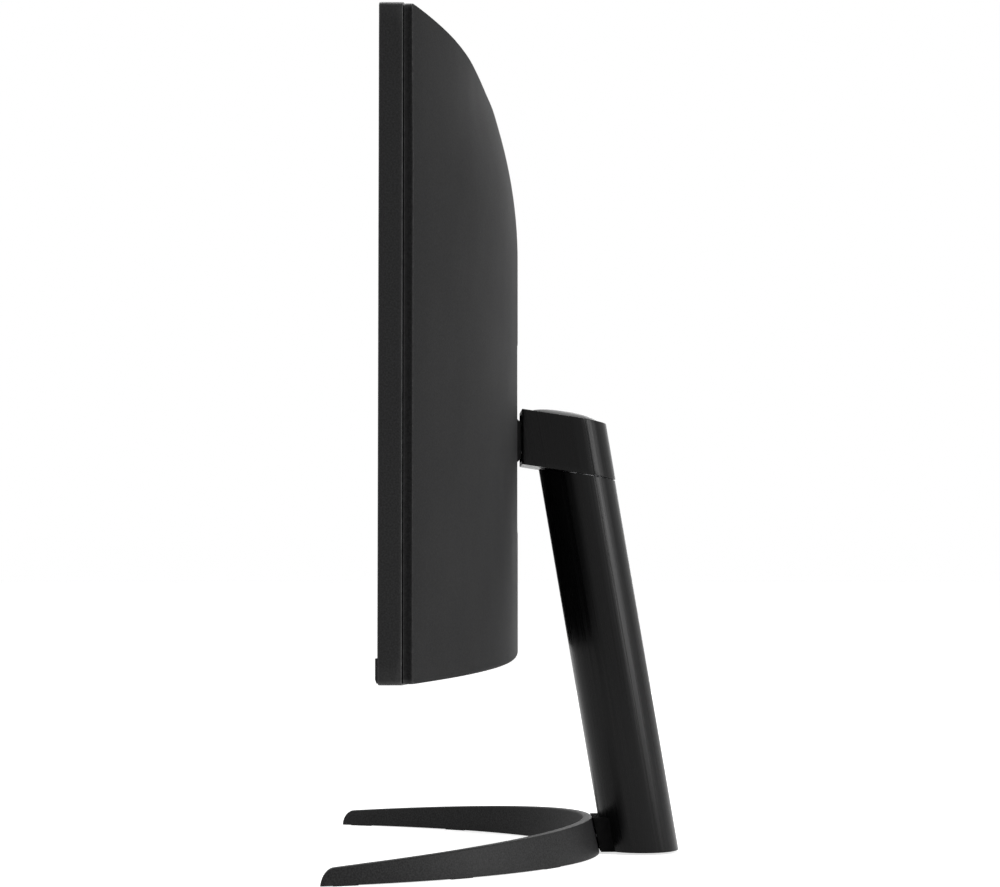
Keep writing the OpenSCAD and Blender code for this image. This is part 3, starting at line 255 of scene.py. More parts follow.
grain.links.new(drift.outputs["Fac"], out.inputs["Drift"])

# Edge highlight: where edges stand out, broken up by a noise. It paints the colour there lighter as
# a painted highlight, and in grained skins it also sets a glossy coat.
edge_highlight_tree, at, out = group("edge_highlight_and_coat_mask", [("Amount", FLOAT)], [("Mask", FLOAT)])
sharpness = node(edge_highlight_tree, "ShaderNodeMapRange", {
    "Value": node(edge_highlight_tree, "ShaderNodeNewGeometry").outputs["Pointiness"],
    "From Min": 0.505, "From Max": 0.55})
breaks = node(edge_highlight_tree, "ShaderNodeTexNoise", {
    "Vector": object_place(edge_highlight_tree), "Scale": 260.0, "Detail": 3.0})
patchy = maths(edge_highlight_tree, "MULTIPLY", sharpness.outputs[0], breaks.outputs["Fac"])
scaled = maths(edge_highlight_tree, "MULTIPLY", patchy, at.outputs["Amount"], clamp=True)
edge_highlight_tree.links.new(scaled, out.inputs["Mask"])


def grained(name, colour, roughness, per_metre=2600.0, depth=0.00006, specular=0.3, tone=0.16,
            metallic=0.0, drift_per_metre=14.0, edge_highlight=0.5, polish=0.0, beyond=0.0, bump=0.6):
    """A moulded, painted or rolled skin. The colour is colour * (1 - tone + 2 * tone * grain) with
    a slow drift, and the grain stands out by the bump. Edges over beyond metres to either side of
    the middle are painted lighter as a highlight, and take that much polish as a glossy coat."""
    material, tree, shader = new_material(name)
    cells = node(tree, "ShaderNodeGroup", node_tree=grain)
    cells.inputs["Per metre"].default_value = per_metre
    cells.inputs["Drift per metre"].default_value = drift_per_metre
    edge_highlight_node = node(tree, "ShaderNodeGroup", node_tree=edge_highlight_tree)
    edge_highlight_node.inputs["Amount"].default_value = edge_highlight
    spot = node(tree, "ShaderNodeSeparateXYZ", {"Vector": object_place(tree)})
    outside = maths(tree, "GREATER_THAN", maths(tree, "ABSOLUTE", spot.outputs["X"]), beyond)
    highlit_edges = maths(tree, "MULTIPLY", edge_highlight_node.outputs["Mask"], outside)
    soft = maths(tree, "MULTIPLY", cells.outputs["Drift"], 0.2)
    blend = maths(tree, "MULTIPLY_ADD", cells.outputs["Speck"], 0.8, soft)
    dark = [c * (1 - tone) for c in colour] + [1.0]
    light = [min(1.0, c * (1 + tone)) for c in colour] + [1.0]
    tint = node(tree, "ShaderNodeMix", {"Factor": blend, "A": dark, "B": light},
                data_type="RGBA")
    # painted highlight: edges that stand out are painted 1.6 times lighter, plus 0.01
    edge = [min(1.0, c * 1.6 + 0.01) for c in colour] + [1.0]
    tint_and_highlight = node(tree, "ShaderNodeMix", {"Factor": highlit_edges, "A": tint.outputs["Result"],
                                          "B": edge}, data_type="RGBA")
    tree.links.new(tint_and_highlight.outputs["Result"], shader.inputs["Base Color"])
    rough = node(tree, "ShaderNodeMapRange", {"Value": cells.outputs["Drift"], "From Min": 0.3,
                                              "From Max": 0.7, "To Min": roughness * 0.96,
                                              "To Max": min(1.0, roughness * 1.04)})
    tree.links.new(rough.outputs[0], shader.inputs["Roughness"])
    raised = node(tree, "ShaderNodeBump", {"Height": cells.outputs["Height"], "Distance": depth,
                                           "Strength": bump})
    tree.links.new(raised.outputs[0], shader.inputs["Normal"])
    shader.inputs["Metallic"].default_value = metallic
    shader.inputs["Specular IOR Level"].default_value = specular
    shader.inputs["Coat Roughness"].default_value = 0.25
    tree.links.new(maths(tree, "MULTIPLY", highlit_edges, polish), shader.inputs["Coat Weight"])
    return material


def wear(material, *names):
    """Puts a material on built pieces, or on the material slots of CAD nodes."""
    for name in names:
        piece = name if isinstance(name, bpy.types.Object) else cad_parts[name]
        if not piece.data.materials:
            piece.data.materials.append(material)
        for slot in piece.material_slots:
            slot.material = material


foot_paint = grained("foot_powder_coat", (0.0135, 0.0135, 0.0138), 0.48, per_metre=1000.0,
                     depth=0.00012, specular=0.12, tone=0.8)
wear(foot_paint, foot)

# ---- Pads, neck and screws of the foot -------------------------------------------------------
# Seven stuck-on rubber pads, a cast neck block in a dull black paint that is painted darker than
# the foot as painted shade, two sunk screws that hold it from the front and one large screw that
# holds the column from below.


def soften(name, width, angle=35.0):
    """Rounds a CAD node's edges a little: its doubles are welded, then its sharp edges bevelled."""
    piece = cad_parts[name]
    weld = piece.modifiers.new("weld", "WELD")
    weld.merge_threshold = 1e-6
    edges = piece.modifiers.new("soft edges", "BEVEL")
    edges.width, edges.segments, edges.limit_method = width * 0.001, 2, "ANGLE"
    edges.angle_limit = math.radians(angle)
    edges.harden_normals = True
    return piece


soften("base_neck", 0.35)
# painted shade: near black, darker than the foot's coat, so the neck reads as the shade under the
# column
wear(grained("neck_black_and_painted_shade", (0.003, 0.003, 0.0031), 0.85, per_metre=1000.0, specular=0.02),
     "base_neck")
wear(grained("pad_rubber", (0.02, 0.02, 0.02), 0.85, per_metre=1500.0, specular=0.2), "foot_pads")
screw_steel = grained("blackened_screws", (0.06, 0.06, 0.062), 0.38, per_metre=3000.0,
                      depth=0.00003, specular=0.5, metallic=1.0)
wear(screw_steel, "base_screws", "base_thumb_screw", "column_screws", "bracket_screws", "hinge_nut")

# ---- Column ----------------------------------------------------------------------------------
# A drawn aluminium tube that leans towards the screen, brushed along its length and anodised
# black. It is cut level at the desk and cut along the head's underside at the top.

LEAN, HEAD_SLOPE = math.radians(9.65), math.radians(8.6)
COLUMN_Y, COLUMN_Z = 93.25, 1.6
HEAD_H, HINGE_Z, HEAD_Y = 37.6, 283.5, 10.315
HINGE_SHARE = 0.61
SEAM_Z = HINGE_Z - HINGE_SHARE * HEAD_H
SEAM_Y = COLUMN_Y - (SEAM_Z - COLUMN_Z) * math.tan(LEAN)
TUBE_R, TUBE_IN_R, SEAM_CLEAR = 25.5, 23.3, 0.6
along = np.array([0, -math.sin(LEAN), math.cos(LEAN)])
across = np.array([0, math.cos(LEAN), math.sin(LEAN)])
up_head = np.array([0, math.sin(HEAD_SLOPE), math.cos(HEAD_SLOPE)])
back_head = np.array([0, math.cos(HEAD_SLOPE), -math.sin(HEAD_SLOPE)])
column_foot = np.array([0, COLUMN_Y, COLUMN_Z])
seam_point = np.array([0, SEAM_Y, SEAM_Z])


def on_column(local):
    """Places local[..., 3], given round the column's own axis, in the row frame."""
    return (column_foot + local[..., :1] * np.array([1.0, 0, 0]) + local[..., 1:2] * across
            + local[..., 2:] * along)


def tube_wall(outer, inner, around=128):
    """A tube round the column's axis as rings of its wall's section: at each angle the section has
    four rounded corners, and its ends lie in the desk's plane and in the head's lower plane."""
    angle = np.linspace(0, 2 * np.pi, around, endpoint=False)
    spokes = np.stack([np.cos(angle), np.sin(angle), 0 * angle], axis=-1)
    radii = np.array([outer, outer, inner, inner])
    walls = spokes[:, None, :] * radii[None, :, None]
    foot_points = on_column(walls)
    rise_low = (COLUMN_Z - foot_points[..., 2]) / along[2]
    seam = seam_point - np.array([0, 0, SEAM_CLEAR])
    rise_high = (seam - foot_points) @ up_head / (along @ up_head)
    is_top = np.array([False, True, True, False])
    rise = np.where(is_top, rise_high, rise_low)
    flat = np.stack([np.broadcast_to(radii, rise.shape), rise], axis=-1)
    flat = rounded(flat, [0.25, 0.45, 0.3, 0.2], 5)
    local = np.stack([np.cos(angle)[:, None] * flat[..., 0], np.sin(angle)[:, None] * flat[..., 0],
                      flat[..., 1]], axis=-1)
    return on_column(local)


tube = build("column_sleeve", *skin(tube_wall(TUBE_R, TUBE_IN_R), looped=True))
NOTCH_HALF, NOTCH_TOP, NOTCH_REACH = 12.0, 8.0, 60.0
notch = np.array([[-NOTCH_HALF, 0], [NOTCH_HALF, 0], [NOTCH_HALF, NOTCH_TOP],
                  [-NOTCH_HALF, NOTCH_TOP]])
carve(tube, build("notch", *skin(prism(notch, 1, COLUMN_Y - NOTCH_REACH, COLUMN_Y))), "DIFFERENCE")
KEYWAY_HALF, KEYWAY_IN, KEYWAY_R, KEYWAY_LOW, KEYWAY_HIGH = 3.05, 5.0, 24.2, 54.0, 360.0
keyway = np.array([[-KEYWAY_HALF, KEYWAY_IN], [KEYWAY_HALF, KEYWAY_IN], [KEYWAY_HALF, KEYWAY_R],
                   [-KEYWAY_HALF, KEYWAY_R]])
carve(tube, build("keyway", *skin(on_column(prism(keyway, 2, KEYWAY_LOW, KEYWAY_HIGH)))),
      "DIFFERENCE")
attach(tube, "stand")
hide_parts("column_tube")

# Hairlines: noise squeezed across the brushing and stretched along it, as lines and as streaks.
hairlines, at, out = group("hairlines", [("Vector", VECTOR)],
                           [("Height", FLOAT), ("Streak", FLOAT)])
thin, wide = (node(hairlines, "ShaderNodeVectorMath", {0: at.outputs["Vector"], 1: per_metre},
                   operation="MULTIPLY").outputs[0]
              for per_metre in ((1300.0, 1300.0, 9.0), (330.0, 330.0, 3.0)))
lines = node(hairlines, "ShaderNodeTexNoise", {"Vector": thin, "Scale": 1.0, "Detail": 2.0})
streaks = node(hairlines, "ShaderNodeTexNoise", {"Vector": wide, "Scale": 1.0, "Detail": 4.0,
                                                 "Roughness": 0.6})
ridges = maths(hairlines, "MULTIPLY_ADD", lines.outputs["Fac"], 0.5, streaks.outputs["Fac"])
hairlines.links.new(ridges, out.inputs["Height"])
hairlines.links.new(streaks.outputs["Fac"], out.inputs["Streak"])


def brushed(name, colour, roughness, turn_x, spread=0.12, metallic=0.0, specular=0.5,
            depth=0.00002):
    """Brushed metal: hairlines run along a line that leans turn_x radians from Z, towards -Y. They
    change the roughness by spread, tint the colour and stand out by the bump."""
    material, tree, shader = new_material(name)
    turned = node(tree, "ShaderNodeMapping", {
        "Vector": object_place(tree), "Rotation": (-turn_x, 0.0, 0.0)})
    strokes = node(tree, "ShaderNodeGroup", node_tree=hairlines)
    tree.links.new(turned.outputs[0], strokes.inputs["Vector"])
    tint = node(tree, "ShaderNodeMix", {
        "Factor": strokes.outputs["Streak"], "A": [c * 0.7 for c in colour] + [1.0],
        "B": [min(1.0, c * 1.35) for c in colour] + [1.0]}, data_type="RGBA")
    # painted highlight: edges that stand out are painted twice as light, plus 0.01
    edge_highlight_node = node(tree, "ShaderNodeGroup", node_tree=edge_highlight_tree)
    edge_highlight_node.inputs["Amount"].default_value = 0.4
    tint_and_highlight = node(tree, "ShaderNodeMix", {
        "Factor": edge_highlight_node.outputs["Mask"], "A": tint.outputs["Result"],
        "B": [min(1.0, c * 2 + 0.01) for c in colour] + [1.0]}, data_type="RGBA")
    tree.links.new(tint_and_highlight.outputs["Result"], shader.inputs["Base Color"])
    rough = node(tree, "ShaderNodeMapRange", {
        "Value": strokes.outputs["Streak"], "From Min": 0.3, "From Max": 0.7,
        "To Min": roughness - spread, "To Max": roughness + spread})
    tree.links.new(rough.outputs[0], shader.inputs["Roughness"])
    raised = node(tree, "ShaderNodeBump", {"Height": strokes.outputs["Height"], "Distance": depth,
                                           "Strength": 0.5})
    tree.links.new(raised.outputs[0], shader.inputs["Normal"])
    shader.inputs["Metallic"].default_value = metallic
    shader.inputs["Specular IOR Level"].default_value = specular
    return material


column_black = brushed("anodised_black", (0.0018, 0.0018, 0.0019), 0.29, LEAN, spread=0.13,
                       specular=0.14, depth=0.0002)
wear(column_black, tube)

# ---- Lift inside the column ------------------------------------------------------------------
# A bare inner tube that carries the head, its plastic bush and glide, a gas strut with its gland
# and rod, and the cast block that stands on the foot's neck.

inner_metal = brushed("satin_inner_tube", (0.33, 0.33, 0.34), 0.36, LEAN, metallic=1.0)
casting = grained("zinc_casting", (0.14, 0.14, 0.145), 0.55, per_metre=900.0, depth=0.0001,
                  metallic=0.8)
glide_plastic = grained("acetal_glides", (0.05, 0.05, 0.052), 0.4, per_metre=1200.0)
strut_paint = grained("strut_paint", (0.02, 0.02, 0.022), 0.3, specular=0.5)
pin_steel = brushed("bright_steel", (0.56, 0.57, 0.58), 0.26, 0.0, metallic=1.0)
wear(inner_metal, "inner_column")
wear(casting, "column_foot_block", "head_bracket")
wear(glide_plastic, "column_top_bush", "column_lower_glide", "lift_gland")
wear(strut_paint, "lift_cylinder")
wear(pin_steel, "lift_rod", "hinge_pin", "latch_spring")

# ---- Head ------------------------------------------------------------------------------------
# A drawn shell in the column's finish, D-shaped from above: round at the back, open towards the
# screen, where it takes the hinge. A low domed cap of black plastic closes its top.

HEAD_R, HEAD_WALL, CAP_RIM, CAP_FROM = 26.0, 2.2, 0.9, 2.0
lean_more = LEAN + HEAD_SLOPE


def head_loop(inset, level, front, corner, arc=72, straight=16):
    """Closed outline of the head in the plane at a level above its underside, as row-frame points.
    Half width is HEAD_R - inset. The arc's places come from x = a cos t and y = a sin t across the
    column's axis, the sides run straight forward to the plane y = front, and the two front corners
    are rounded."""
    half = HEAD_R - inset
    ahead = (front - SEAM_Y - level * math.sin(HEAD_SLOPE)) / math.cos(HEAD_SLOPE)
    angle = np.linspace(0, np.pi, arc)
    ring = np.stack([half * np.cos(angle), (half * np.sin(angle) - level * math.sin(lean_more))
                     / math.cos(lean_more)], axis=-1)
    start = ring[0, 1]
    side = np.linspace(start, ahead + corner, straight)[1:]
    bend = np.linspace(0, np.pi / 2, 6)[1:]
    left = np.stack([np.full(straight - 1, -half), side], axis=-1)
    turn_left = np.stack([-half + corner * (1 - np.cos(bend)),
                          ahead + corner * (1 - np.sin(bend))], axis=-1)
    front_line = np.stack([np.linspace(-half + corner, half - corner, 12)[1:],
                           np.full(11, ahead)], axis=-1)
    turn_right = np.stack([half - corner * (1 - np.sin(bend)),
                           ahead + corner * (1 - np.cos(bend))], axis=-1)
    right = np.stack([np.full(straight - 1, half), side[::-1]], axis=-1)
    flat = np.concatenate([ring, left, turn_left, front_line, turn_right, right[:-1]])
    return (seam_point + level * up_head + flat[:, :1] * np.array([1.0, 0, 0])
            + flat[:, 1:] * back_head)


ease = np.radians(np.linspace(0, 90, 5))
HEAD_EDGE = 0.5
low_edge = [(HEAD_EDGE * (1 - math.sin(a)), HEAD_EDGE * (1 - math.cos(a))) for a in ease]
high_edge = [(inset, HEAD_H - level) for inset, level in reversed(low_edge)]
levels = low_edge + [(0.0, HEAD_H * k / 8) for k in range(1, 8)] + high_edge
head_rings = np.stack([head_loop(inset, level, HEAD_Y + inset, 1.2) for inset, level in levels])
head = build("head_sleeve", *skin(head_rings))
hollow = np.stack([head_loop(HEAD_WALL, level, HEAD_Y - 6, 0.3)
                   for level in (HEAD_WALL, HEAD_H - HEAD_WALL)])
carve(head, build("head_hollow", *skin(hollow)), "DIFFERENCE")
seat = np.stack([head_loop(CAP_RIM, level, HEAD_Y + CAP_FROM, 0.6)
                 for level in (HEAD_H - HEAD_WALL - 1, HEAD_H + 2)])
carve(head, build("cap_seat", *skin(seat)), "DIFFERENCE")
THROAT_R, THROAT_LOW, THROAT_TOP = 22.4, 200.0, 276.4
throat = on_column(prism(circle(0, 0, THROAT_R, 96), 2, THROAT_LOW, THROAT_TOP))
carve(head, build("throat", *skin(throat)), "DIFFERENCE")
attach(head, "carriage")
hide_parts("head_shell")
wear(column_black, head)

CAP_GAP, CROWN, CROWN_Y, RIM_DROP = 0.1, 4.2, 44.0, 0.12
cap_loop = [head_loop(CAP_RIM + CAP_GAP + inset, level, HEAD_Y + CAP_FROM + CAP_GAP + inset, 0.6)
            for inset, level in ((0.0, HEAD_H - HEAD_WALL), (0.0, HEAD_H - 0.5),
                                 (0.1, HEAD_H - 0.25), (0.3, HEAD_H - RIM_DROP))]
rim = cap_loop[-1]
middle = np.array([0.0, CROWN_Y, 0.0])
middle[2] = (seam_point[2]
             + (HEAD_H - RIM_DROP - (middle - seam_point)[1] * up_head[1]) / up_head[2])
shrink = np.sqrt(np.linspace(0.97, 0.0, 22))[:, None, None]
crown_lift = (CROWN + RIM_DROP) * np.clip(1 - (shrink / 0.86) ** 2, 0, 1) ** 0.75
dome = middle + (rim[None] - middle) * np.maximum(shrink, 0.004) + crown_lift * up_head
cap = build("head_dome_cap", *skin(np.concatenate([np.stack(cap_loop), dome])), 40)
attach(cap, "carriage")
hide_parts("head_top_cap")
cap_plastic = grained("satin_cap", (0.02, 0.02, 0.021), 0.38, per_metre=2400.0, depth=0.00003,
                      specular=0.5)
wear(cap_plastic, cap)

# ---- Hinge, leaf and latch -------------------------------------------------------------------
# The tilt hinge's brass friction washers, the cast and painted leaf that hooks into the display,
# the pressed steel bracket behind the cover, and the button and latch that let the leaf go.

soften("mount_leaf", 0.5)
leaf_paint = grained("leaf_paint", (0.006, 0.006, 0.0062), 0.48, per_metre=2200.0, specular=0.15)
brass = brushed("brass", (0.6, 0.44, 0.2), 0.35, 0.0, metallic=1.0)
sheet_steel = brushed("zinc_plated_sheet", (0.1, 0.103, 0.106), 0.5, 0.0, metallic=1.0)
wear(leaf_paint, "mount_leaf")
wear(brass, "hinge_washers", "board_standoffs")
wear(sheet_steel, "mount_bracket", "back_chassis", "lock_slot_plate")
wear(glide_plastic, "release_latch", "joystick_gimbal", "joystick_stem")

# ---- Screen ----------------------------------------------------------------------------------
# A thin glass cell bent to an 1800 mm curve, with an anti-glare face and a black printed border.
# Behind it lie the films, the light guide with its row of lamps, and the steel chassis.

CURVE_R, CURVE_Y = 1800.0, -1833.185
HALF_W, LOW_Z, TOP_Z = 405.0, 133.7, 497.2


def curve(x, depth):
    """Y of the screen's curve at x, that deep behind the frame's front: CURVE_Y plus the square
    root of (CURVE_R + depth) squared less x squared."""
    return CURVE_Y + np.sqrt((CURVE_R + depth) ** 2 - np.square(x))


def swept(section, half, count):
    """A section[n, 2] of depths and heights carried along the screen's curve, -half to half."""
    x = np.linspace(-half, half, count)[:, None]
    depth, z = section[None, :, 0], section[None, :, 1]
    return np.stack(np.broadcast_arrays(x, curve(x, depth), z), axis=-1)


CELL_HALF, CELL_LOW, CELL_TOP, CELL_FRONT, CELL_BACK = 401.9, 140.0, 494.1, 1.3, 2.9
CURVE_STATIONS = 161
pane = np.array([[CELL_FRONT, CELL_LOW], [CELL_BACK, CELL_LOW], [CELL_BACK, CELL_TOP],
                 [CELL_FRONT, CELL_TOP]])
glass = build("screen_pane", *skin(swept(rounded(pane, 0.15, 3), CELL_HALF, CURVE_STATIONS)))
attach(glass, "display")
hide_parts("lcd_cell")

screen_glass = grained("anti_glare_glass", (0.010, 0.010, 0.011), 0.3, per_metre=9000.0,
                       depth=0.000006, specular=0.5, tone=0.1, edge_highlight=0.0, drift_per_metre=4.0)
BORDER_X, BORDER_LOW, BORDER_TOP = 0.3985, 0.1495, 0.4925
tree = screen_glass.node_tree
spot = node(tree, "ShaderNodeSeparateXYZ", {"Vector": object_place(tree)})
off_x = maths(tree, "ABSOLUTE", spot.outputs["X"])
past = [maths(tree, "GREATER_THAN", a, b)
        for a, b in ((off_x, BORDER_X), (BORDER_LOW, spot.outputs["Z"]),
                     (spot.outputs["Z"], BORDER_TOP))]
border = maths(tree, "MAXIMUM", maths(tree, "MAXIMUM", past[0], past[1]), past[2])
shader = tree.nodes["Principled BSDF"]
surface = shader.inputs["Base Color"].links[0].from_socket
print_mix = node(tree, "ShaderNodeMix", {"Factor": border, "A": surface,
                                         "B": (0.003, 0.003, 0.003, 1.0)}, data_type="RGBA")
tree.links.new(print_mix.outputs["Result"], shader.inputs["Base Color"])
wear(screen_glass, glass)
wear(grained("panel_frame", (0.03, 0.03, 0.031), 0.55), "mid_frame")
wear(grained("optical_film", (0.8, 0.8, 0.78), 0.5, per_metre=600.0), "optical_sheets",
     "reflector_sheet")
wear(grained("guide_acrylic", (0.72, 0.78, 0.8), 0.15, per_metre=400.0), "light_guide")
wear(grained("led_strip", (0.75, 0.7, 0.5), 0.45, per_metre=900.0), "led_bar")

# ---- Front frame and chin bar ----------------------------------------------------------------
# A moulded frame whose side walls wrap the panel and whose narrow lip holds it, and a separate
# chin bar, chamfered along its foot, that is stuck on below the screen.


def rounded_rectangle(left, right, low, high, radius, bend, counts):
    """Closed outline: four quarter circles about the places radius in from the corners, from the
    lower right one round, joined by straight runs of counts[k] even steps."""
    parts = []
    for x, z, start in ((right - radius, low + radius, -90), (right - radius, high - radius, 0),
                        (left + radius, high - radius, 90), (left + radius, low + radius, 180)):
        angle = math.radians(start) + bend
        parts.append(np.stack([x + radius * np.cos(angle), z + radius * np.sin(angle)], axis=-1))
    runs = []
    for k, count in enumerate(counts):
        a, b = parts[k][-1], parts[(k + 1) % 4][0]
        runs.append(a + (b - a) * np.linspace(0, 1, count + 1)[1:-1, None])
    return np.concatenate([p for pair in zip(parts, runs) for p in pair])


FRAME_BEND = np.linspace(0, np.pi / 2, 7)
FRAME_STEPS = (28, 96, 28, 96)


def frame_loop(side, bottom, top, corner):
    """Rounded rectangle, drawn in from the display's outline by side, bottom and top."""
    half = HALF_W - side
    return rounded_rectangle(-half, half, LOW_Z + bottom, TOP_Z - top, corner, FRAME_BEND,
                             FRAME_STEPS)


FRAME_D, FRAME_WALL, LIP_W, LIP_T, CHIN_H, CORNER_R = 12.5, 1.6, 2.2, 1.2, 14.3, 2.4
FRAME_EDGE = 0.55
bend = np.radians(np.linspace(0, 90, 6))
frame_stations = [(0.15, 0.15, 0.15, CORNER_R, FRAME_D), (0.0, 0.0, 0.0, CORNER_R, FRAME_D - 0.2)]
# plain loops along the side wall keep the painted edge highlight, which fades from edge to edge, to
# the edges
SIDE_DEPTHS = (11.9, 9.0, 5.0, 1.5, 0.9)
frame_stations += [(0.0, 0.0, 0.0, CORNER_R, depth) for depth in SIDE_DEPTHS]
frame_stations += [(s, s, s, CORNER_R - s, d) for s, d in
                   ((FRAME_EDGE * (1 - math.cos(a)), FRAME_EDGE * (1 - math.sin(a))) for a in bend)]
frame_stations += [(LIP_W - 0.2, CHIN_H - 0.2, LIP_W - 0.2, 0.8, 0.0),
                   (LIP_W, CHIN_H, LIP_W, 0.6, 0.2), (LIP_W, CHIN_H, LIP_W, 0.6, LIP_T),
                   (FRAME_WALL, FRAME_WALL, FRAME_WALL, 0.8, LIP_T),
                   (FRAME_WALL, FRAME_WALL, FRAME_WALL, 0.8, FRAME_D)]


def frame_ring(side, bottom, top, corner, depth):
    """The loop carried onto the screen's curve at a depth."""
    loop = frame_loop(side, bottom, top, corner)
    return np.stack([loop[:, 0], curve(loop[:, 0], depth), loop[:, 1]], axis=-1)


frame_rings = np.stack([frame_ring(*s) for s in frame_stations])
bezel = build("front_bezel", *skin(frame_rings, looped=True))
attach(bezel, "display")
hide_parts("front_frame")
# its edges are painted lighter as a highlight and take a glossy coat
frame_plastic = grained("frame_plastic", (0.008, 0.008, 0.0083), 0.42, per_metre=1000.0,
                        depth=0.0001, specular=0.18, tone=0.8, edge_highlight=1.6, polish=1.0)
wear(frame_plastic, bezel)

CHIN_FRONT, CHIN_BACK, CHIN_FRONT_FOOT, CHIN_BACK_FOOT = -1.0, -0.1, 3.2, 0.6
chin_section = np.array([[CHIN_FRONT, LOW_Z + CHIN_FRONT_FOOT], [CHIN_BACK, LOW_Z + CHIN_BACK_FOOT],
                         [CHIN_BACK, LOW_Z + CHIN_H], [CHIN_FRONT, LOW_Z + CHIN_H]])
chin_section = rounded(chin_section, [0.4, 0.1, 0.1, 0.25], 5)
chin = build("chin_strip", *skin(swept(chin_section, HALF_W, CURVE_STATIONS)))
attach(chin, "display")
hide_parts("chin_bar")
wear(grained("chin_plastic", (0.006, 0.006, 0.0062), 0.42, per_metre=2400.0, depth=0.00003,
             specular=0.15), chin)

# ---- Rear cover ------------------------------------------------------------------------------
# One large moulding in fine-textured black: a shallow side wall, a crisp edge, and a back that
# swells to the middle. It has a square recess for the stand and one each for sockets and vent.

COVER_HALF, COVER_LOW, COVER_TOP = 404.4, 134.3, 496.6
COVER_START, COVER_EDGE_D, COVER_WALL, EDGE_R = 13.1, 17.5, 2.4, 0.8
BACK_Y, BULGE_R, SHOULDER_Z, SHOULDER_R = 7.5, 1170.0, 405.2, 282.0
RIM, RIM_REACH, FADE = 5.9, 142.0, 3.0
RIM_MIDDLE, RIM_GROWS, RIM_FROM = 0.75, 110, 1.36
HEEL_R, BROW_R, ROUNDED_HALF = 5.0, 3.0, 320.0
HEEL_BELOW_Z = SHOULDER_Z - 100


def edge_radius(x, z):
    """Radius of the lower and upper back edges: HEEL_R or BROW_R in the middle, falling to EDGE_R
    at the sides as x squared."""
    middle_r = np.where(z < HEEL_BELOW_Z, HEEL_R, BROW_R)
    return EDGE_R + (middle_r - EDGE_R) * np.clip(1 - np.square(x / ROUNDED_HALF), 0, 1)


def edge_drop(inset, radius):
    """How far a rounded edge has fallen at an inset from the side: r less the square root of
    r^2 - (r - inset)^2."""
    reach = np.clip(radius - inset, 0, radius)
    return radius - np.sqrt(np.square(radius) - np.square(reach))


def cover_back(x, z):
    """Y of the back without its rounded edges. A profile, upright and falling along a circle above
    SHOULDER_Z, is turned about an upright axis BULGE_R in front of it. A low rim keeps to the
    screen's curve, runs out to the sides as one less a square, and has RIM_MIDDLE of its height
    near the middle. The back is the smooth larger of the two, half of their sum and the root of
    their difference squared plus FADE squared."""
    above = np.clip(z - SHOULDER_Z, 0, SHOULDER_R)
    fallen = SHOULDER_R - np.sqrt(SHOULDER_R ** 2 - np.square(above))
    band = curve(x, COVER_EDGE_D)
    turned = BACK_Y - BULGE_R + np.sqrt(np.square(BULGE_R - fallen) - np.square(x)) - band
    inward = np.clip((COVER_HALF - np.abs(x)) / RIM_REACH, 0, 1)
    grown = np.clip(np.abs(x) / RIM_GROWS - RIM_FROM, 0, 1)
    rim = RIM * (1 - np.square(1 - inward)) * (RIM_MIDDLE + (1 - RIM_MIDDLE) * grown)
    return band + (turned + rim + np.sqrt(np.square(turned - rim) + FADE ** 2)) / 2


corner_turn = np.radians(np.linspace(45, 90, 5))
columns = np.linspace(-1, 1, 121)
near_edge = np.array([2.4, 3.1, 4.0, 5.0, 7.0])
cover_h = COVER_TOP - COVER_LOW
rows = np.concatenate([near_edge, np.linspace(10, cover_h - 10, 50), cover_h - near_edge[::-1]])


def cover_lines(inset, radius):
    """The grid's x and z lines for a loop drawn in by an inset, and how far the loop's own corner
    arcs stand in at each line. The first and last five lines of each way follow the arcs."""
    arc_across, arc_in = radius * (1 - np.cos(corner_turn)), radius * (1 - np.sin(corner_turn))
    x = columns * (COVER_HALF - inset - radius)
    x = np.concatenate([-COVER_HALF + inset + arc_across[:-1], x,
                        COVER_HALF - inset - arc_across[-2::-1]])
    inner = COVER_LOW + inset + radius + (rows - rows[0]) / (rows[-1] - rows[0]) * (
        COVER_TOP - COVER_LOW - 2 * inset - 2 * radius)
    z = np.concatenate([COVER_LOW + inset + arc_across[:-1], inner,
                        COVER_TOP - inset - arc_across[-2::-1]])
    in_x = np.concatenate([arc_in[:-1], 0 * columns, arc_in[-2::-1]])
    in_z = np.concatenate([arc_in[:-1], 0 * rows, arc_in[-2::-1]])
    return x, z, in_x, in_z


def cover_loop(inset, radius):
    """Closed loop along the grid's border: lower edge, right side, upper edge, left side."""
    x, z, in_x, in_z = cover_lines(inset, radius)
    low = np.stack([x, COVER_LOW + inset + in_x], axis=-1)
    right = np.stack([COVER_HALF - inset - in_z, z], axis=-1)
    high = np.stack([x, COVER_TOP - inset - in_x], axis=-1)[::-1]
    left = np.stack([-COVER_HALF + inset + in_z, z], axis=-1)[::-1]
    return np.concatenate([low[:-1], right[:-1], high[:-1], left[:-1]])


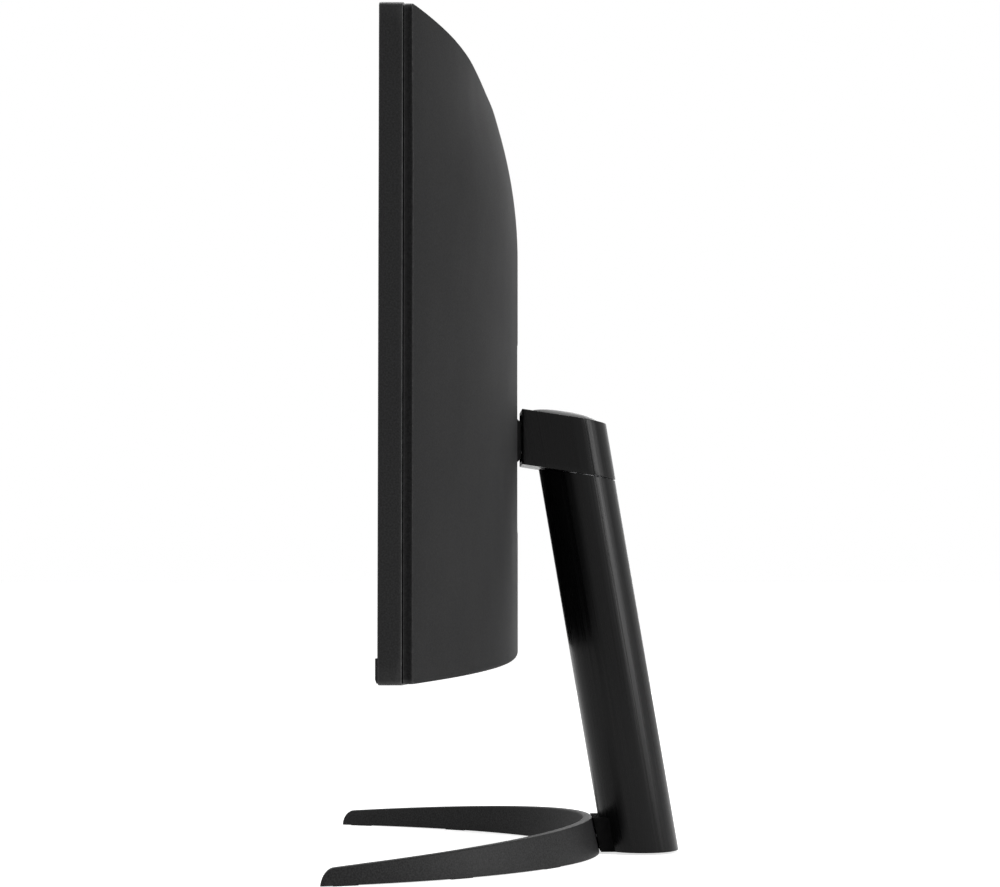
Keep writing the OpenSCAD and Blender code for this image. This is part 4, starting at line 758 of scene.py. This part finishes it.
def sheet_inside(loop, inset, radius, height):
    """Points and faces that fill a loop: the grid's inner crossings, at y = height(x, z), joined to
    the loop's own points, which come first."""
    x, z, _, _ = cover_lines(inset, radius)
    nx, nz = len(x), len(z)
    index = np.zeros((nz, nx), int)
    index[0, :-1] = np.arange(nx - 1)
    index[:-1, -1] = nx - 1 + np.arange(nz - 1)
    index[-1, 1:] = (nx + nz - 2 + np.arange(nx - 1))[::-1]
    index[1:, 0] = (2 * nx + nz - 3 + np.arange(nz - 1))[::-1]
    index[1:-1, 1:-1] = len(loop) + np.arange((nx - 2) * (nz - 2)).reshape(nz - 2, nx - 2)
    xx, zz = np.meshgrid(x[1:-1], z[1:-1])
    inner = np.stack([xx, height(xx, zz), zz], axis=-1).reshape(-1, 3)
    quads = np.stack([index[:-1, :-1], index[:-1, 1:], index[1:, 1:], index[1:, :-1]], axis=-1)
    return inner, quads.reshape(-1, 4)


def rounded_back(x, z):
    """The back with its lower and upper edges rounded."""
    inset = np.minimum(z - COVER_LOW, COVER_TOP - z)
    return cover_back(x, z) - edge_drop(inset, edge_radius(x, z))


def cover_rings(stations):
    """Rings from (inset, corner radius, kind of place, number): a "drop" ring follows the back's
    rounded edge, a "depth" ring lies on the screen's curve, and an "inner" ring a wall behind."""
    rings = []
    for inset, radius, kind, depth in stations:
        loop = cover_loop(inset, radius)
        x, z = loop[:, 0], loop[:, 1]
        if kind == "depth":
            y = curve(x, depth)
        elif kind == "inner":
            y = cover_back(x, z) - COVER_WALL
        else:
            y = cover_back(x, z) - edge_drop(inset, edge_radius(x, z))
        rings.append(np.stack([x, y, z], axis=-1))
    return np.stack(rings)


def closed_cover(name, stations, last_height):
    """A closed solid from the stations' rings. The first ring is filled by the back's grid, and the
    last one by a grid at last_height(x, z)."""
    rings = cover_rings(stations)
    points, faces = skin(rings)
    faces = [f for f in faces if len(f) == 4]
    start = len(points)
    inset, radius = stations[0][:2]
    first_in, first_quads = sheet_inside(rings[0], inset, radius, rounded_back)
    around = rings.shape[1]
    first_quads = np.where(first_quads < around, first_quads, first_quads - around + start)
    base = (len(stations) - 1) * around
    inset, radius = stations[-1][:2]
    last_in, last_quads = sheet_inside(rings[-1], inset, radius, last_height)
    last_quads = np.where(last_quads < around, last_quads + base,
                          last_quads - around + start + len(first_in))
    faces += first_quads[:, ::-1].tolist() + last_quads.tolist()
    return build(name, np.concatenate([points, first_in, last_in]), faces, 30)


round_edge = [(EDGE_R * (1 - math.cos(a)), CORNER_R - EDGE_R * (1 - math.cos(a)), "drop", 0)
              for a in np.radians(np.linspace(90, 0, 8))]
wall_down = [(0.0, CORNER_R, "depth", depth)
             for depth in (COVER_EDGE_D - 1.2, COVER_START + 0.5, COVER_START + 0.2)]
wall_down += [(0.15, CORNER_R - 0.15, "depth", COVER_START)]
tongue = [(1.2, 1.2, "depth", COVER_START), (1.2, 1.2, "depth", 9.7), (1.35, 1.05, "depth", 9.5),
          (COVER_WALL, 0.6, "depth", 9.5), (COVER_WALL, 0.6, "inner", 0)]
cover = closed_cover("rear_shell", round_edge + wall_down + tongue,
                     lambda x, z: cover_back(x, z) - COVER_WALL)
outer = closed_cover("outer_form", round_edge + wall_down, lambda x, z: curve(x, COVER_START))


PLATE_BEND = np.linspace(0, np.pi / 2, 8)
PLATE_STEPS = (19, 19, 19, 19)


def plate(half_w, half_h, x, z, radius):
    """Rounded rectangle about a middle, as x and z."""
    return rounded_rectangle(x - half_w, x + half_w, z - half_h, z + half_h, radius, PLATE_BEND,
                             PLATE_STEPS)


PAST_WALLS_Y, PAST_RECESS_Y = 14.0, 16.0
SOCKETS_X, SOCKETS_Z, VENT_X, VENT_Z, LOW_FLOOR_Y = -100.0, 166.0, -4.0, 172.0, -7.885
# (half width, half height, middle x, middle z, corner radius, floor y)
RECESSES = ((64.0, 64.0, 0.0, HINGE_Z, 8.0, 1.615),
            (50.0, 15.0, SOCKETS_X, SOCKETS_Z, 3.0, LOW_FLOOR_Y),
            (34.0, 15.0, VENT_X, VENT_Z, 3.0, LOW_FLOOR_Y))


def tray(half_w, half_h, x, z, radius, floor):
    """Walls round a recess: a block one wall bigger, from under its floor to past the outside."""
    outline = plate(half_w + COVER_WALL, half_h + COVER_WALL, x, z, radius + COVER_WALL)
    return block(outline, 1, floor - COVER_WALL, PAST_WALLS_Y)


ROLL, RECESS_FOOT_R = 0.7, 0.8


def recess(half_w, half_h, x, z, radius, floor):
    """The recess itself: rings from a rounded foot at its floor up its walls, and out over an edge
    that is rolled along the cover's back."""
    foot_bend, rings = np.radians(np.linspace(0, 90, 5)), []
    for a in foot_bend:
        inset = RECESS_FOOT_R * (1 - math.sin(a))
        outline = plate(half_w - inset, half_h - inset, x, z, radius - inset)
        y = np.full(len(outline), floor + RECESS_FOOT_R * (1 - math.cos(a)))
        rings.append(np.stack([outline[:, 0], y, outline[:, 1]], axis=-1))
    for a in foot_bend:
        out_by = ROLL * (1 - math.cos(a))
        outline = plate(half_w + out_by, half_h + out_by, x, z, radius + out_by)
        y = rounded_back(outline[:, 0], outline[:, 1]) - ROLL * (1 - math.sin(a))
        rings.append(np.stack([outline[:, 0], y, outline[:, 1]], axis=-1))
    top = rings[-1].copy()
    top[:, 1] = PAST_RECESS_Y
    return skin(np.stack(rings + [top]))


walls = several("trays", [tray(*r) for r in RECESSES])
carve(walls, outer, "INTERSECT")
carve(cover, walls, "UNION", 30)
carve(cover, several("recesses", [recess(*r) for r in RECESSES]), "DIFFERENCE", 30)
WALL_MOUNT, WALL_HOLE_R, HOOK_X = 50.0, 2.6, 22.0
HOOK_Z, CATCH_Z, RELEASE_Z = 313.5, 250.75, 230.75
STICK_Y, STICK_HOLE_R, LENS_X, LENS_HOLE_R = -8.685, 8.2, 24.0, 1.6
HOOK_HALF, CATCH_HALF, RELEASE_HALF, SLOT_R = (6, 5), (10, 3.25), (5, 6.75), 0.6
SOCKETS_HALF, VENT_HALF, WINDOW_R = (47, 12), (31, 12), 2
THROUGH_BACK, THROUGH_LOW_FLOOR, THROUGH_FOOT = (-12, 8), (-20, 2), (128, 149)
stand_openings = [circle(x, HINGE_Z + z, WALL_HOLE_R) for x in (-WALL_MOUNT, WALL_MOUNT)
                  for z in (-WALL_MOUNT, WALL_MOUNT)]
stand_openings += [plate(*HOOK_HALF, x, HOOK_Z, SLOT_R) for x in (-HOOK_X, HOOK_X)]
stand_openings += [plate(*CATCH_HALF, 0, CATCH_Z, SLOT_R),
                   plate(*RELEASE_HALF, 0, RELEASE_Z, SLOT_R)]
cuts = [block(outline, 1, *THROUGH_BACK) for outline in stand_openings]
cuts += [block(outline, 1, *THROUGH_LOW_FLOOR)
         for outline in (plate(*SOCKETS_HALF, SOCKETS_X, SOCKETS_Z, WINDOW_R),
                         plate(*VENT_HALF, VENT_X, VENT_Z, WINDOW_R))]
cuts += [block(outline, 2, *THROUGH_FOOT)
         for outline in (circle(0, STICK_Y, STICK_HOLE_R, 64),
                         circle(LENS_X, STICK_Y, LENS_HOLE_R, 24))]
carve(cover, several("cuts", cuts), "DIFFERENCE", 30)
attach(cover, "display")
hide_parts("rear_cover")
# the side edges, over 0.4 m from the middle, are painted lighter as a highlight and take a glossy
# coat
cover_plastic = grained("cover_plastic", (0.0098, 0.0098, 0.0101), 0.6, per_metre=1000.0,
                        depth=0.00009, specular=0.035, tone=0.45, edge_highlight=1.4, polish=1.0,
                        beyond=0.4)
wear(cover_plastic, cover)

# ---- Fittings in the cover -------------------------------------------------------------------
# The vent grille and the socket plate close their recesses from inside. The sockets are pressed
# metal and moulded bodies, and the release button is moulded like the trim.

trim_plastic = grained("trim_plastic", (0.013, 0.013, 0.0135), 0.5, specular=0.3)
for name, width in (("vent_grille", 0.2), ("io_plate", 0.2), ("release_button", 0.3)):
    soften(name, width)
wear(trim_plastic, "vent_grille", "io_plate", "joystick_housing", "release_button", "joystick_cap")
wear(brushed("socket_shells", (0.1, 0.1, 0.1), 0.5, 0.0, metallic=1.0), "hdmi_sockets",
     "display_port_socket")
wear(grained("socket_bodies", (0.01, 0.01, 0.01), 0.4), "dc_jack", "headphone_jack")
wear(brushed("tinned_shields", (0.13, 0.13, 0.125), 0.5, 0.0, metallic=1.0), "board_shield",
     "tcon_shield")
wear(grained("circuit_board", (0.012, 0.09, 0.03), 0.45, per_metre=500.0), "main_board",
     "tcon_board", "joystick_board")

# ---- Joystick and power light ----------------------------------------------------------------
# A short ribbed stick under the cover's lower edge, beside a small milky lens for the power light.

soften("joystick_cap", 0.2)
lens = grained("milky_lens", (0.62, 0.64, 0.66), 0.35, per_metre=700.0, edge_highlight=0.0)
wear(lens, "led_lens")

# ---- Camera ----------------------------------------------------------------------------------
# It stands at the user's right, level with the column, and looks along -X at the display's side.

LENS, SENSOR = 87.65, 36.0
CAMERA_AT = Vector((1.6899, -0.0483, 0.1958))
YAW, PITCH = math.radians(1.499), math.radians(2.913)
CAMERA_LOOKS = Vector((-math.cos(YAW) * math.cos(PITCH), math.sin(YAW) * math.cos(PITCH),
                       math.sin(PITCH)))
camera_data = bpy.data.cameras.new("camera")
camera_data.lens, camera_data.sensor_width, camera_data.sensor_fit = LENS, SENSOR, "AUTO"
camera_data.clip_start, camera_data.clip_end = 0.05, 50.0
camera = bpy.data.objects.new("camera", camera_data)
bpy.context.scene.collection.objects.link(camera)
camera.location = CAMERA_AT
camera.rotation_mode = "QUATERNION"
camera.rotation_quaternion = CAMERA_LOOKS.to_track_quat("-Z", "Y")
bpy.context.scene.camera = camera

# ---- Floor, background and light -------------------------------------------------------------
# A plain pale floor that runs to a white background. A soft lamp hangs above, a tall one stands
# behind the object's right side, two small ones graze the cover from the far side, and two large
# weak ones light the front.


def seen_rays(tree):
    """1 for rays from the camera, mirrors and glass, else 0: the largest of the three."""
    path = node(tree, "ShaderNodeLightPath")
    either = maths(tree, "MAXIMUM", path.outputs["Is Camera Ray"], path.outputs["Is Glossy Ray"])
    return maths(tree, "MAXIMUM", either, path.outputs["Is Transmission Ray"])


world = bpy.data.worlds.new("studio")
bpy.context.scene.world = world
world.use_nodes = True
backdrop = world.node_tree.nodes["Background"]
backdrop.inputs["Color"].default_value = (1, 1, 1, 1)
WORLD_LIGHT, FLOOR_GLOW = 0.33, 0.72
strength = node(world.node_tree, "ShaderNodeMapRange", {
    "Value": seen_rays(world.node_tree), "To Min": WORLD_LIGHT, "To Max": 1.0})
world.node_tree.links.new(strength.outputs[0], backdrop.inputs["Strength"])

FLOOR_HALF = 30.0
floor_mesh = bpy.data.meshes.new("floor")
floor_mesh.from_pydata([(-FLOOR_HALF, -FLOOR_HALF, 0), (FLOOR_HALF, -FLOOR_HALF, 0),
                        (FLOOR_HALF, FLOOR_HALF, 0), (-FLOOR_HALF, FLOOR_HALF, 0)], [],
                       [(0, 1, 2, 3)])
floor = bpy.data.objects.new("floor", floor_mesh)
bpy.context.scene.collection.objects.link(floor)
pale, tree, shader = new_material("pale_floor")
shader.inputs["Base Color"].default_value = (0.8, 0.8, 0.8, 1)
shader.inputs["Roughness"].default_value = 0.9
shader.inputs["Specular IOR Level"].default_value = 0.1
shader.inputs["Emission Color"].default_value = (1, 1, 1, 1)
glow = maths(tree, "MULTIPLY", seen_rays(tree), FLOOR_GLOW)
tree.links.new(glow, shader.inputs["Emission Strength"])
floor_mesh.materials.append(pale)


def soft_lamp(name, place, target, width, height, watts):
    """A rectangular area lamp that faces a target, in metres."""
    data = bpy.data.lights.new(name, "AREA")
    data.shape, data.size, data.size_y, data.energy = "RECTANGLE", width, height, watts
    lamp = bpy.data.objects.new(name, data)
    bpy.context.scene.collection.objects.link(lamp)
    lamp.location = place
    lamp.rotation_mode = "QUATERNION"
    lamp.rotation_quaternion = (Vector(target) - Vector(place)).to_track_quat("-Z", "Y")
    return lamp


soft_lamp("overhead", (0.2, 0.1, 2.2), (0, 0, 0.3), 0.5, 1.3, 20)
soft_lamp("rear_right", (0.86, 1.96, 0.75), (0, 0.05, 0.25), 0.55, 1.5, 33)
soft_lamp("far_rear", (-2.2, 0.42, 0.12), (0, 0.05, 0.2), 0.4, 0.5, 2.5)
soft_lamp("far_rear_high", (-2.2, 0.42, 0.9), (0, 0.05, 0.4), 0.4, 0.4, 1.5)
soft_lamp("front_right", (1.9, -1.6, 0.9), (0, 0, 0.3), 1.4, 1.4, 8)
soft_lamp("front_left", (-1.5, -2.0, 1.1), (0, 0, 0.3), 1.4, 1.4, 12)
bpy.context.scene.view_settings.view_transform = "Standard"

# ---- Image points ----------------------------------------------------------------------------
# Where the photograph shows things, in the 1000 x 887 frame. They set the camera, and shown_at
# holds the picture place where each one's feature now shows.

POINTS = {
    "object_left": (320.5, 885.3), "object_right": (679.2, 848.5), "object_top": (390.0, 1.0),
    "object_bottom": (335.0, 885.6), "frame_front_edge": (378.6, 350.0),
    "groove": (402.2, 350.0), "cover_side_edge": (411.3, 350.0), "cover_back": (517.8, 350.0),
    "head_top_front": (521.8, 408.8), "head_top_rear": (606.8, 422.2),
    "head_low_rear": (617.0, 479.8), "far_foot_tip": (344.0, 825.0), "crown": (571.5, 411.9),
    "panel_bottom": (395.0, 687.0),
}
PICTURE_W, PICTURE_H = 1000, 887
bpy.context.view_layer.update()
depsgraph = bpy.context.evaluated_depsgraph_get()
camera_axes = np.array(camera.matrix_world.to_3x3())
long_side = max(PICTURE_W, PICTURE_H)


def in_picture(points):
    """Row-frame points[n, 3] in metres as picture x and y."""
    local = (np.asarray(points) - np.array(CAMERA_AT)) @ camera_axes
    scale = LENS / SENSOR * long_side
    return np.stack([PICTURE_W / 2 - scale * local[:, 0] / local[:, 2],
                     PICTURE_H / 2 + scale * local[:, 1] / local[:, 2]], axis=-1)


def finished(piece):
    """The piece's finished vertices, in metres."""
    mesh = piece.evaluated_get(depsgraph).to_mesh()
    points = np.zeros(len(mesh.vertices) * 3)
    mesh.vertices.foreach_get("co", points)
    return points.reshape(-1, 3)


def farthest(piece, right, down, keep=None):
    """Picture place of the finished vertex with the largest right * x + down * y, among the
    vertices that keep() picks by their places in the room."""
    points = finished(piece)
    if keep is not None:
        points = points[keep(points)]
    shown = in_picture(points)
    return shown[np.argmax(shown @ [right, down])]


def edge_x(piece, name, side, keep=None):
    """An upright edge: the outermost x, to one side, of the vertices that show within 20 pixels
    of its point's row. The row is the point's own."""
    points = finished(piece)
    if keep is not None:
        points = points[keep(points)]
    shown = in_picture(points)
    shown = shown[np.abs(shown[:, 1] - POINTS[name][1]) < 20]
    return np.array([side * (side * shown[:, 0]).max(), POINTS[name][1]])


def edge_y(piece, name, side):
    """A level edge, in the same way: the outermost y within 8 pixels of its point's column."""
    shown = in_picture(finished(piece))
    shown = shown[np.abs(shown[:, 0] - POINTS[name][0]) < 8]
    return np.array([POINTS[name][0], side * (side * shown[:, 1]).max()])


shown_at = {
    "object_left": farthest(foot, -1, 0), "object_right": farthest(tube, 1, 0),
    "object_top": edge_y(bezel, "object_top", -1),
    "object_bottom": edge_y(foot, "object_bottom", 1),
    "frame_front_edge": edge_x(bezel, "frame_front_edge", -1),
    "groove": edge_x(cover, "groove", -1, lambda p: p[:, 0] > 0.4043),
    "cover_side_edge": edge_x(cover, "cover_side_edge", 1, lambda p: p[:, 0] > 0.4043),
    "cover_back": edge_x(cover, "cover_back", 1),
    "panel_bottom": edge_y(bezel, "panel_bottom", 1),
    "head_top_front": farthest(head, -1, -1), "head_top_rear": farthest(head, 1, -1),
    "head_low_rear": farthest(head, 1, 1), "crown": edge_y(cap, "crown", -1),
    "far_foot_tip": farthest(foot, -1, 0, lambda p: p[:, 0] < -0.1),
}
